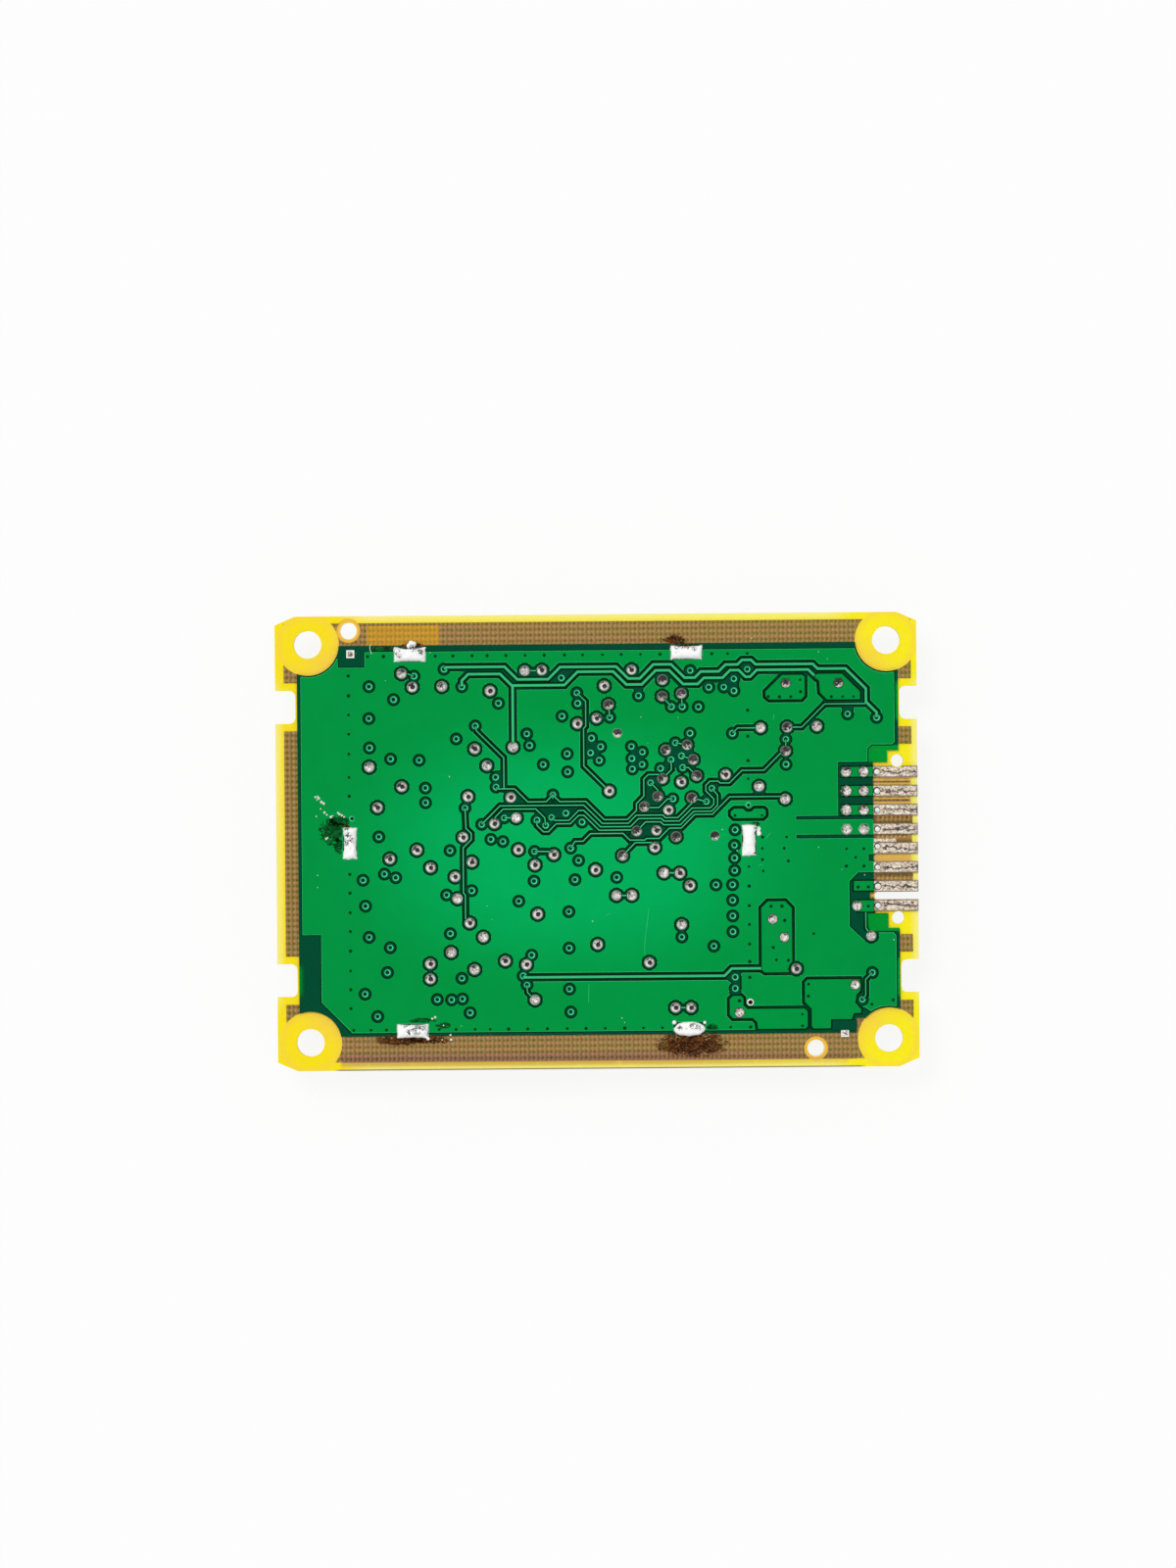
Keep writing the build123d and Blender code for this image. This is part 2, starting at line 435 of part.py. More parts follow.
def tabs():
    """Middle and run of each shield tab: along X or along Y."""
    ends = (WALL_LEFT + TAB_FROM_END, WALL_RIGHT - TAB_FROM_END)
    long_walls = [(x, j * WALL_TOP, "X") for j in (1, -1) for x in ends]
    return long_walls + [(x, 0.0, "Y") for x in (WALL_LEFT, WALL_RIGHT)]


def at_tab(tab, length, width):
    """Flat rectangle over one shield tab."""
    x, y, run = tab
    return Pos(x, y) * (Rectangle(length, width) if run == "X" else Rectangle(width, length))


# ---- board layers --------------------------------------------------------
def board_outline():
    run, rise = CORNER_RUN, CORNER_RISE
    sheet = area([
        (LEFT + run, -TOP), (RIGHT - run, -TOP), (RIGHT, rise - TOP), (RIGHT, TOP - rise),
        (RIGHT - run, TOP), (LEFT + run, TOP), (LEFT, TOP - rise), (LEFT, rise - TOP),
    ])
    sheet -= notches(0, NOTCH_FILLET)
    key_y = contact_y(KEY_AFTER + 0.5)
    return sheet - Pos(RIGHT, key_y) * rounded(2 * KEY_LENGTH, KEY_WIDTH, KEY_FILLET)


def notches(grow, rounding):
    """The four clip notches, reaching past the board's short edges."""
    length, width = 2 * HOLE_FROM_END, NOTCH_WIDTH + 2 * grow
    shape = rounded(length, width, rounding) if rounding else Rectangle(length, width)
    x = HOLE_X + NOTCH_PAST_HOLES - grow + length / 2
    return [Pos(i * x, j * (TOP - NOTCH_FROM_EDGE)) * shape for i in (-1, 1) for j in (-1, 1)]


def board_holes(sides):
    """Screw holes as circles or polygons, and the small holes beside them."""
    return (discs(MOUNTING_HOLES, HOLE_DIAMETER / 2, sides)
            + discs(TOOLING_HOLES, TOOLING_DIAMETER / 2, HOLE_SIDES)
            + discs(LOCATING_HOLES, LOCATING_DIAMETER / 2, HOLE_SIDES))


def tab_slots():
    return [at_tab(tab, TAB_WIDTH + 2 * SLOT_PLAY, SHEET + 2 * SLOT_PLAY) for tab in tabs()]


def laminate_sheet(hole_sides):
    return board_outline() - board_holes(hole_sides) - tab_slots()


def inner_plane():
    """Copper between core and prepreg, drawn back from every edge and hole."""
    right = RIGHT - PLANE_FROM_RIGHT
    sheet = block(LEFT + PLANE_FROM_LEFT, PLANE_FROM_BOTTOM - TOP, right, TOP - PLANE_FROM_TOP)
    sheet -= notches(PLANE_CLEARANCE, 0)
    window_y = LOCATING_FROM_MIDDLE + PLANE_WINDOW
    sheet -= block(CONTACT_START, -window_y, right, window_y)
    sheet += [block(CONTACT_START - 1, low, RIGHT - back, high) for low, high, back in PLANE_TONGUES]
    sheet -= discs(MOUNTING_HOLES, HOLE_KEEPOUT, RING_SIDES)
    sheet -= discs(TOOLING_HOLES, TOOLING_KEEPOUT, ROUND_SIDES)
    wide, narrow = TAB_WIDTH + 2 * PLANE_CLEARANCE, SHEET + 2 * PLANE_CLEARANCE
    return sheet - [at_tab(tab, wide, narrow) for tab in tabs()]


def mask_frame(grow, grow_top):
    """Left, bottom, right and top of the mask, drawn in by some margin."""
    return (LEFT + MASK_FROM_LEFT + grow, MASK_FROM_BOTTOM - TOP + grow,
            RIGHT - MASK_FROM_RIGHT - grow, TOP - MASK_FROM_TOP - grow_top)


def contact_window():
    """Bare rectangle round all the fingers."""
    return block(CONTACT_START, contact_y(CONTACTS) - WINDOW_BELOW, RIGHT, contact_y(1) + WINDOW_ABOVE)


def mask_outline():
    """Solder mask, stepped back round the fingers and the mounting holes."""
    left, bottom, right, top = mask_frame(0, 0)
    sheet = block(left, bottom, right, top) - contact_window()
    step_x, step_y = RIGHT - LOCATING_FROM_END - MASK_STEP, LOCATING_FROM_MIDDLE + MASK_STEP
    sheet -= block(step_x, -step_y, right, step_y)
    sheet -= block(RIGHT - MASK_CORNER_LENGTH, bottom, right, bottom + MASK_CORNER_WIDTH)
    key_y = contact_y(KEY_AFTER + 0.5)
    sheet -= block(CONTACT_START - KEY_WIDTH / 2, key_y - KEY_WIDTH / 2, CONTACT_START, key_y + KEY_WIDTH / 2)
    return sheet - discs(MOUNTING_HOLES, HOLE_KEEPOUT, RING_SIDES)


# ---- solder-side copper --------------------------------------------------
def strips(grow=0.0):
    """Copper behind the fingers that is kept clear of the pour."""
    return [block(CONTACT_START - length - grow, contact_y(number) - low - grow,
                  CONTACT_START, contact_y(number) + high + grow)
            for number, length, low, high in FINGER_STRIPS]


def pour_outline():
    left, bottom, right, top = mask_frame(POUR_MARGIN, POUR_MARGIN_TOP)
    cuts = [area(drawn(points)) for points in POUR_CUTS]
    sheet = block(left, bottom, right, top) - contact_window() - cuts
    return sheet - discs(MOUNTING_HOLES, HOLE_KEEPOUT + POUR_BACK, RING_SIDES)


def island_gaps():
    """Islands grown by the clearance, to be cut out of the pour."""
    grown = [offset(area(drawn(points)), CLEARANCE, kind=Kind.INTERSECTION) for points in ISLANDS]
    return [face for shape in grown for face in shape.faces()]


def rear_pour():
    gaps = [ribbon(drawn(points), BUS_WIDTH + 2 * CLEARANCE) for points in BUS_TRACKS]
    gaps += [ribbon(drawn(points), SIGNAL_WIDTH + 2 * CLEARANCE) for points in SIGNAL_TRACKS]
    gaps += discs(drawn(TEST_PADS), PAD_RADIUS + CLEARANCE, ROUND_SIDES)
    gaps += discs(drawn(TRACK_VIAS), VIA_RADIUS + CLEARANCE, ROUND_SIDES)
    gaps += [area(drawn(points)) for points in CLEARINGS]
    gaps += island_gaps() + strips(CLEARANCE / 2)
    gaps += [at_tab(tab, JOINT_LENGTH, JOINT_WIDTH) for tab in tabs()]
    gaps += discs(drawn(JOINED_PADS), PAD_RADIUS, ROUND_SIDES)
    gaps += discs(contact_pads(), CONTACT_PAD_RADIUS, ROUND_SIDES)
    return pour_outline() - gaps


def rear_islands():
    faces = Sketch() + [area(drawn(points)) for points in ISLANDS] + strips()
    faces -= discs(drawn(TEST_PADS), PAD_RADIUS + CLEARANCE, ROUND_SIDES)
    faces -= discs(drawn(JOINED_PADS), PAD_RADIUS, ROUND_SIDES)
    return faces - discs(contact_pads(), CONTACT_PAD_RADIUS, ROUND_SIDES)


def rear_tracks():
    faces = Sketch() + [ribbon(drawn(points), BUS_WIDTH) for points in BUS_TRACKS]
    faces += [ribbon(drawn(points), SIGNAL_WIDTH) for points in SIGNAL_TRACKS]
    faces -= discs(drawn(TEST_PADS), PAD_RADIUS, ROUND_SIDES)
    return faces - [area(drawn(points)) for points in ISLANDS] - strips()


def soldered_pads():
    return discs(drawn(TEST_PADS + JOINED_PADS), PAD_RADIUS, ROUND_SIDES)


def contact(number):
    """One finger on each face of the board, seated on the laminate."""
    middle = contact_y(number)
    finger = block(CONTACT_START, middle - CONTACT_WIDTH / 2, RIGHT, middle + CONTACT_WIDTH / 2)
    if number == STEPPED_CONTACT:
        finger += block(CONTACT_START, middle, CONTACT_START + STEP_LENGTH, middle + STEP_WIDTH)
    finger -= discs(LOCATING_HOLES, LOCATING_DIAMETER / 2 + 0.2, RING_SIDES)
    return Compound(children=[plate(finger, REAR, FOIL).solid(),
                              plate(finger, CORE_BOTTOM - FOIL, FOIL).solid()])


# ---- shield can ----------------------------------------------------------
def can_plate(grow, bottom, top):
    """Rectangle over the can, grown outwards from the middle of its walls."""
    face = Rectangle(CAN_LENGTH + 2 * grow, CAN_WIDTH + 2 * grow)
    return Pos(CAN_MIDDLE, 0) * plate(face, bottom, top - bottom)


def can_ring(grow, bottom, top):
    """Four walls one sheet thick."""
    return can_plate(grow + SHEET / 2, bottom, top) - can_plate(grow - SHEET / 2, bottom, top)


def shield_frame():
    frame = can_ring(0, SHEET, FRONT)
    inside = -SHEET / 2
    frame += can_plate(inside, SHEET, 2 * SHEET) - can_plate(inside - FLANGE, SHEET, 2 * SHEET)
    tab_height = COPPER + TAB_STAND - FRONT
    return frame + [plate(at_tab(tab, TAB_WIDTH, SHEET), FRONT, tab_height) for tab in tabs()]


def shield_lid():
    """Pressed tray whose slotted skirt springs over the frame."""
    grow = SHEET + LID_PLAY
    lid = can_plate(grow + SHEET / 2, 0, SHEET) + can_ring(grow, SHEET, LID_SKIRT)
    slot_height = LID_SKIRT - 2 * SHEET
    slot_z = LID_SKIRT - slot_height / 2
    for place in (-1, 0, 1):
        along_x = Pos(CAN_MIDDLE + place * CAN_LENGTH / 4, 0, slot_z)
        lid -= along_x * Box(SKIRT_SLOT, CAN_WIDTH + 4 * grow, slot_height)
        along_y = Pos(CAN_MIDDLE, place * CAN_WIDTH / 4, slot_z)
        lid -= along_y * Box(CAN_LENGTH + 4 * grow, SKIRT_SLOT, slot_height)
    return lid


def solder_joint(tab, foot):
    """Solder heaped over one tab: steep at its foot, flatter on top."""
    x, y, run = tab
    turn = 0 if run == "X" else 90
    sections = []
    for rise, long, wide in JOINT_SECTIONS:
        outline = area([(i * long * JOINT_LENGTH / 2, j * wide * JOINT_WIDTH / 2) for i, j in foot])
        sections.append(Pos(x, y, COPPER + rise * JOINT_HEIGHT) * Rot(0, 0, turn) * outline)
    heap = loft(sections, ruled=True)
    return heap - plate(at_tab(tab, TAB_WIDTH, SHEET), COPPER, TAB_STAND)


# ---- component side ------------------------------------------------------
def hung(x, y, size, stand=0.0):
    """Box under the board; its top face is stand below the mask."""
    length, width, height = size
    return Pos(x, y, FRONT - stand - height / 2) * Box(length, width, height)


def moulded(places, size, stand=0.0):
    """Moulded bodies with a chamfered face."""
    bodies = []
    for x, y in places:
        body = hung(x, y, size, stand)
        bodies.append(chamfer(body.edges().group_by(Axis.Z)[0], BODY_CHAMFER))
    return Compound(children=bodies)


def leads(places, edge, count, pitch, sides):
    """Feet of the rows of leads that leave the sides of some bodies."""
    foot = Box(LEAD_WIDTH, LEAD_REACH, 2 * LEAD_THICK)
    first = -pitch * (count - 1) / 2
    row = [Pos(first + pitch * place, edge + LEAD_REACH / 2, FRONT - LEAD_THICK) for place in range(count)]
    return Compound(children=[Pos(x, y) * Rot(0, 0, turn) * place * foot
                              for x, y in places for turn in sides for place in row])


def clock_crystals():
    length, width, height = CRYSTAL_SIZE
    brim = Rectangle(length + CRYSTAL_BRIM, width + CRYSTAL_BRIM)
    can = extrude(chamfer(Rectangle(length, width).vertices(), width / 3), -height)
    foot = extrude(chamfer(brim.vertices(), width / 3), -CRYSTAL_BRIM / 2)
    return Compound(children=[Pos(x, y, FRONT) * (can + foot) for x, y in drawn(CRYSTAL_PLACES)])


def chips(places, size):
    return Compound(children=[hung(x, y, size) for x, y in drawn(places)])


def end_terminals(places, size):
    """Folded end caps of a moulded part, half its height."""
    length, width, height = size
    reach = (length + END_TERMINAL) / 2
    low = (END_TERMINAL, 0.6 * width, height / 2)
    return Compound(children=[hung(x + i * reach, y, low) for x, y in places for i in (-1, 1)])


def choke_cups():
    """Square ferrite cups with cut corners and a round bore."""
    outline = chamfer(Rectangle(CHOKE_SIDE, CHOKE_SIDE).vertices(), CHOKE_CORNER)
    ring = outline - discs([(0, 0)], CHOKE_BORE, RING_SIDES)
    return Compound(children=[Pos(x, y, FRONT) * extrude(ring, -CHOKE_HEIGHT) for x, y in CHOKE_PLACES])


def choke_drums():
    """Wound drums, standing in the bores of their cups."""
    height = CHOKE_HEIGHT + 0.2
    return plate(Sketch() + discs(CHOKE_PLACES, CHOKE_DRUM, RING_SIDES), FRONT - height, height)


def switch_tabs():
    """Heat tab and the two outer leads of each transistor."""
    metal = []
    back = SWITCH_SIZE[1] / 2
    for x, y in SWITCH_PLACES:
        metal.append(hung(x, y + back + SWITCH_TAB[1] / 2, SWITCH_TAB))
        metal += [hung(x + i * SWITCH_LEAD_PITCH / 2, y - back - SWITCH_LEAD[1] / 2, SWITCH_LEAD)
                  for i in (-1, 1)]
    return Compound(children=metal)


# ---- nodes ---------------------------------------------------------------
def make_nodes():
    mask = mask_outline()
    rear_mask = mask - tab_slots()
    nodes = {
        "board_core": plate(laminate_sheet(0), CORE_BOTTOM, LAMINATE - PREPREG - FOIL),
        "inner_ground_plane": plate(inner_plane(), PLANE_BOTTOM, FOIL),
        "rear_prepreg": plate(laminate_sheet(RING_SIDES), PREPREG_BOTTOM, PREPREG),
        "rear_solder_mask": plate(rear_mask, REAR, MASK),
        "front_solder_mask": plate(rear_mask, FRONT, MASK),
        "rear_ground_pour": plate(rear_pour(), COPPER, FOIL),
        "rear_power_islands": plate(rear_islands(), COPPER, FOIL),
        "rear_signal_tracks": plate(rear_tracks(), COPPER, FOIL),
        "rear_test_pads": plate(Sketch() + soldered_pads(), COPPER, SOLDER_RISE),
        "rear_contact_pads": plate(Sketch() + discs(contact_pads(), CONTACT_PAD_RADIUS, ROUND_SIDES),
                                   COPPER, SOLDER_RISE),
        "rear_fiducials": plate(Sketch() + [Pos(x, y) * Rectangle(FIDUCIAL_SIDE, FIDUCIAL_SIDE)
                                            for x, y in FIDUCIALS], COPPER, FOIL),
        "shield_frame": shield_frame(),
        "shield_lid": shield_lid(),
        "microcontroller_body": moulded(drawn(QUAD_PLACES), (QUAD_SIDE, QUAD_SIDE, QUAD_HEIGHT), BODY_STAND),
        "microcontroller_leads": leads(drawn(QUAD_PLACES), QUAD_SIDE / 2, QUAD_LEAD_COUNT, QUAD_PITCH,
                                       (0, 90, 180, 270)),
        "led_driver_bodies": moulded(drawn(DRIVER_PLACES), DRIVER_SIZE, BODY_STAND),
        "led_driver_leads": leads(drawn(DRIVER_PLACES), DRIVER_SIZE[1] / 2, DRIVER_LEAD_COUNT, DRIVER_PITCH,
                                  (0, 180)),
        "clock_crystal": clock_crystals(),
        "chip_capacitors": chips(CAPACITOR_PLACES, CAPACITOR_SIZE),
        "chip_resistors": chips(RESISTOR_PLACES, RESISTOR_SIZE),
        "choke_cups": choke_cups(),
        "choke_drums": choke_drums(),
        "switching_transistors": moulded(SWITCH_PLACES, SWITCH_SIZE),
        "transistor_tabs": switch_tabs(),
        "rectifier_diodes": moulded(DIODE_PLACES, DIODE_SIZE),
        "diode_terminals": end_terminals(DIODE_PLACES, DIODE_SIZE),
        "tantalum_capacitors": moulded(TANTALUM_PLACES, TANTALUM_SIZE),
        "tantalum_terminals": end_terminals(TANTALUM_PLACES, TANTALUM_SIZE),
    }
    for number in range(1, CONTACTS + 1):
        nodes[f"contact_{number}"] = contact(number)
    for number, tab in enumerate(tabs(), 1):
        nodes[f"shield_joint_{number}"] = solder_joint(tab, OVAL_FOOT if number == 4 else FLARED_FOOT)
    return nodes


os.makedirs("parts", exist_ok=True)
for name, shape in make_nodes().items():
    export_step(Pos(HOLE_SHIFT, 0, 0) * shape, f"parts/{name}.step")
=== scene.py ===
import functools
import math
import random

import bmesh
import bpy
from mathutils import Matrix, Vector, noise


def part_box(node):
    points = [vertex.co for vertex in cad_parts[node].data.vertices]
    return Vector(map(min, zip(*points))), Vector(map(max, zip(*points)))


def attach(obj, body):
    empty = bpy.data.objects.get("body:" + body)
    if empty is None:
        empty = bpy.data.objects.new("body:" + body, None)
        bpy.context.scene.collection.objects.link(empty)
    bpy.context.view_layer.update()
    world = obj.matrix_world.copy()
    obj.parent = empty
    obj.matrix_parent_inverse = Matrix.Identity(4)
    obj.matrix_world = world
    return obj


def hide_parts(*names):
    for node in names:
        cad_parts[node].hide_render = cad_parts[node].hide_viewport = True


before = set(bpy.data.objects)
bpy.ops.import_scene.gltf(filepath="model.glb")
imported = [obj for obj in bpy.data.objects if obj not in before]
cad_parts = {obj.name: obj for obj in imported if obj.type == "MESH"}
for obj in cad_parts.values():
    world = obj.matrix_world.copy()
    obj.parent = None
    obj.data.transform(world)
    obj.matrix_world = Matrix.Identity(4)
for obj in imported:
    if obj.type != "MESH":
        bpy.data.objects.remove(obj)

bl_info = {
    "name": "LED control module",
    "version": (1, 0, 0),
    "blender": (4, 5, 0),
    "location": "View3D > Sidebar > Module",
    "description": "Builds the look of a circuit board module over its packed frame",
    "category": "Object",
}

MM = 0.001
SHIFT = 0.17                # middle of the screw holes from the frame's origin, along X
# Places below are in millimetres from the middle of the four screw holes.
HOLES = [(x, y) for x in (-38.5, 38.5) for y in (-26.5, 26.5)]
HOLE_RADIUS, HOLE_RING = 1.85, 4.15
TOOLING, TOOLING_RADIUS, TOOLING_RING = [(-33.05, 28.3), (28.75, -27.75)], 1.1, 1.6
LOCATING, LOCATING_RADIUS = [(39.85, 10.45), (39.85, -10.45)], 0.83
PLANE_BACK, POUR_BACK = 0.05, 0.25      # from a screw hole's ring to the inner plane and to the pour
TRACK_END = 0.6             # radius cleared of track under a test pad
RING_SIDES = 28             # sides of the holes in the copper
WEAVE = 0.9                 # pitch of the glass cloth on the laminate's faces
PLANE_ROWS, PLANE_COLUMNS = 0.77, 0.58  # pitches of the threads that show over the inner plane
PITCH, ROW_MIDDLE = 2.54, 0.1           # of the contacts, along Y
HALF_LENGTH, HALF_WIDTH = 31, 18        # of the painted pool of light in the board's middle
ISLANDS_FROM = 17           # the islands of copper lie past this along X
CONTACT_HOLES = 37.1        # the contacts' own holes, along X
OVAL_JOINT = "shield_joint_4"
# Rectangles: left, bottom, right and top.
WINDOW = (-30.6, 26.3, -20.95, 28.95)       # clear window in the inner plane
SLOT_END = (35.9, -8.2, 37.1, -7.0)         # paler plane at the keying slot's end
GAPS = (36.0, -9.0, 41.7, 9.2)              # resin between the contacts
CONTACT_STEP = (39.6, -0.45, 41.75, 0.62)   # laminate beside the wide half of contact 5, with painted shade across it
LOWER_BAND = (-34.5, -29.75, 33.0, -28.0)   # duller resin above the lower edge
LOWER_LINE = (-34.3, -29.2, 34.2, -28.8)    # brown line in that band
LIT_REGIONS = [                             # lacquer over bare resin, each with its softness
    (36.0, 10.3, 40.2, 12.5, 0.15), (35.7, -12.2, 40.2, -9.9, 0.15), (39.6, 15.9, 40.6, 20.8, 0.45),
    (39.6, -20.8, 40.6, -15.9, 0.45), (-40.6, -20.2, -39.7, -16.4, 0.6),
]
# Dark bars between the first contacts: Y and half width. The thin bars beside the contacts' edges are painted
# shadow lines; the wide middle ones are brown lines in the board.
BARS = [(8.0, 0.05), (7.64, 0.15), (7.2, 0.08), (5.56, 0.07), (5.14, 0.15), (4.62, 0.08)]
# Tongues of the inner plane between contacts: lowest and highest Y, and where the painted shade on each is darkest
# and lightest.
TONGUES = [(2.1, 3.3, 2.2, 3.0), (-0.5, 0.7, -0.35, 0.4), (-5.6, -4.3, -4.5, -5.6)]
VIAS = [
    (-20.35, 23.1), (-18.0, 20.75), (37.15, 16.2), (-10.15, -17.8), (-24.35, 22.2), (-2.7, 19.8),
    (1.65, 16.5), (9.85, 17.85), (11.3, 17.85), (-16.25, 15.5), (-13.55, 7.35), (-6.0, 6.25),
    (-15.5, 2.4), (-7.0, 2.2), (-12.5, 3.25), (-8.15, 2.9), (-6.2, 3.25), (15.15, 6.95),
    (-3.7, -0.85), (9.95, 5.6), (9.75, 10.8), (7.0, 7.75), (10.35, 13.05), (11.15, 11.3),
    (11.3, 9.75), (14.4, 5.2), (17.95, 14.25), (25.05, 13.4), (-17.7, 4.6), (-8.5, -1.25),
    (-9.65, -19.0), (36.3, -17.75), (34.95, -21.3),
    (-30.35, 20.85), (-27.1, 19.1), (-13.15, 18.5), (-4.75, 21.8), (-2.6, 18.4), (5.5, 19.35),
    (12.4, 22.65), (20.0, 22.75), (18.2, 21.5), (18.2, 19.9), (16.85, 20.4), (14.85, 20.4),
    (13.45, 17.8), (-30.4, 16.6), (-30.35, 12.7), (-27.55, 11.2), (-23.75, 11.0), (-18.8, 13.8),
    (-22.95, 7.3), (-22.95, 5.35), (-13.6, 8.65), (-9.4, 14.4), (-9.05, 12.85), (-7.25, 10.3),
    (-4.7, 16.7), (-4.05, 11.7), (-4.0, 9.3), (-0.8, 13.75), (0.4, 12.6), (-0.95, 11.8), (0.2, 10.8),
    (4.5, 12.6), (5.95, 11.85), (4.55, 11.0), (5.9, 10.2), (4.6, 9.6), (8.35, 9.65), (12.3, 14.3),
    (25.05, 10.05), (33.3, 16.7), (-29.2, 0.85), (-28.5, -4.1), (-27.0, -4.6), (-31.35, -4.9),
    (-19.75, -1.05), (-20.25, -6.95), (-16.9, -6.4), (-14.3, 0.4), (-12.7, 0.1), (-8.6, -5.2),
    (-10.65, -7.85), (-4.3, 3.8), (-2.15, 2.6), (-2.65, -2.5), (-3.15, -5.05), (2.4, -4.8),
    (18.2, 1.4), (18.1, -0.65), (18.1, -2.35), (18.1, -4.0), (15.6, -5.9), (17.8, -5.9),
    (-31.05, -8.35), (-30.6, -12.5), (-27.8, -13.9), (-28.2, -17.2), (-31.2, -20.05), (-19.8, -12.1),
    (-18.3, -18.05), (-9.0, -15.05), (-21.6, -20.85), (-19.7, -20.9), (-18.25, -20.8),
    (-17.25, -22.65), (-29.55, -23.05), (-4.0, -9.3), (-4.0, -14.15), (-4.0, -19.6), (-3.85, -22.65),
    (17.8, -7.95), (17.8, -10.05), (17.8, -12.15), (15.25, -14.05), (18.05, -18.2), (18.05, -19.7),
    (11.0, -12.8),
]
RAISED_VIAS = [(-32.75, 3.3), (20.0, 4.7)]
OPEN_VIA = (20.05, -21.55)
STITCH_ROWS = {
    24.85: [-30.5, -28.4, -21.5, -19.15, -16.6, -14.6, -12.1, -9.55, -7.0, -4.3, -1.9, 0.75, 3.25, 5.8, 8.4,
            15.3, 17.4, 20.0],
    -24.85: [-32.75, -30.45, -28.4, -21.4, -19.15, -16.6, -14.6, -12.15, -9.6, -7.0, -4.35, -1.85, 0.7, 3.3,
             5.8, 8.3, 17.4, 20.05],
}
STITCH_COLUMNS = {
    -33.1: [22.3, 19.65, 17.1, 14.55, 11.9, 8.8, 6.3, -4.1, -6.6, -9.2, -11.7, -14.3, -16.95, -19.45, -21.95],
    20.0: [17.3, 13.85, 10.6, 8.2, -3.5, -6.1, -8.7, -11.2, -13.8, -16.15, -18.25],
}
OTHER_STITCHES = [
    (21.85, 0.4), (21.8, -1.1), (21.8, -2.6), (21.9, -4.1), (24.7, -1.1), (25.25, -2.8), (25.05, 0.4),
    (28.55, -12.5), (33.0, -1.25), (35.3, -1.25), (34.2, -2.4), (32.95, -3.55), (35.3, -3.55),
    (27.0, 21.3), (27.05, 19.7), (22.75, 19.1), (24.25, 19.05), (25.75, 19.05), (31.15, 19.0),
    (32.65, 19.0), (34.1, 19.0), (18.2, 3.3), (21.8, 3.3), (22.9, -8.8), (24.35, -8.8),
    (24.7, -10.7), (23.15, -14.3), (23.55, -15.95), (25.15, -16.0), (27.8, -19.2), (27.75, -20.8),
    (18.6, -21.35), (26.95, -23.2), (26.95, -24.75), (36.2, -21.95), (39.05, -21.4), (34.5, -6.35),
    (35.85, -6.35), (35.85, -8.9),
]
JOINED_PADS = [             # test pads that stand on copper of their own net
    (2.65, 14.4), (15.5, 0.65), (25.1, 20.85), (32.1, 20.85), (23.1, -10.5), (24.65, -12.95), (18.6, -22.9),
    (34.0, -19.35), (34.4, -8.85),
]
# Test pads whose solder is broken up, and those that show no pin-hole.
DULL_PADS = [
    (8.7, 21.45), (8.65, 19.25), (11.2, 19.6), (1.5, 18.2), (11.9, 12.75), (12.7, 10.8), (13.15, 8.65), (8.6, 8.3),
    (7.95, 5.95), (12.5, 5.7), (6.15, 4.6), (5.1, 1.35), (10.35, 0.55), (25.25, 15.0), (25.0, 11.85), (2.65, 14.4),
    (15.5, 0.65), (25.1, 20.85), (32.1, 20.85), (3.2, -1.9), (9.05, 12.1),
]
FILLED_PADS = [
    (-26.0, 22.55), (-20.65, 20.8), (-11.25, 12.65), (-14.75, 10.2), (-30.4, 10.15), (21.7, 14.95), (29.2, 15.1),
    (21.45, 7.15), (24.9, 5.45), (-10.9, 3.25), (8.7, -4.25), (2.35, -7.2), (4.4, -7.2), (-18.8, -7.45),
    (-15.4, -12.6), (-19.7, -14.6), (-16.6, -16.9), (-8.6, -21.0), (11.0, -11.15), (36.2, -12.85), (23.1, -10.5),
    (24.65, -12.95), (34.0, -19.35), (34.4, -8.85), (18.6, -22.9), (-9.6, 22.8),
]
# Stains lie flat round the joints: middle, half length and half width.
BURNT_FILMS = [
    (-24.4, 26.35, 1.7, 0.3), (10.5, 26.75, 1.5, 0.75), (-26.6, -26.2, 3.4, 0.75), (-22.6, -26.1, 3.0, 0.5),
    (12.3, -27.1, 5.0, 1.75), (-33.6, 2.3, 0.8, 0.35), (-28.6, 26.05, 1.8, 0.16), (12.0, 26.0, 1.3, 0.22),
]
# Darker green patches beside the joints, partly flux and partly painted shade: middle, half length and half width.
DARK_FILMS = [
    (-35.4, 1.6, 1.9, 1.9), (-34.6, 3.0, 1.6, 0.8), (-23.6, -23.6, 1.9, 0.35), (-20.8, -24.3, 1.1, 0.5),
    (14.9, -25.0, 0.9, 0.7), (20.9, 2.2, 0.9, 0.35), (-28.6, 25.8, 1.5, 0.35), (-34.6, -0.3, 0.7, 1.2),
]
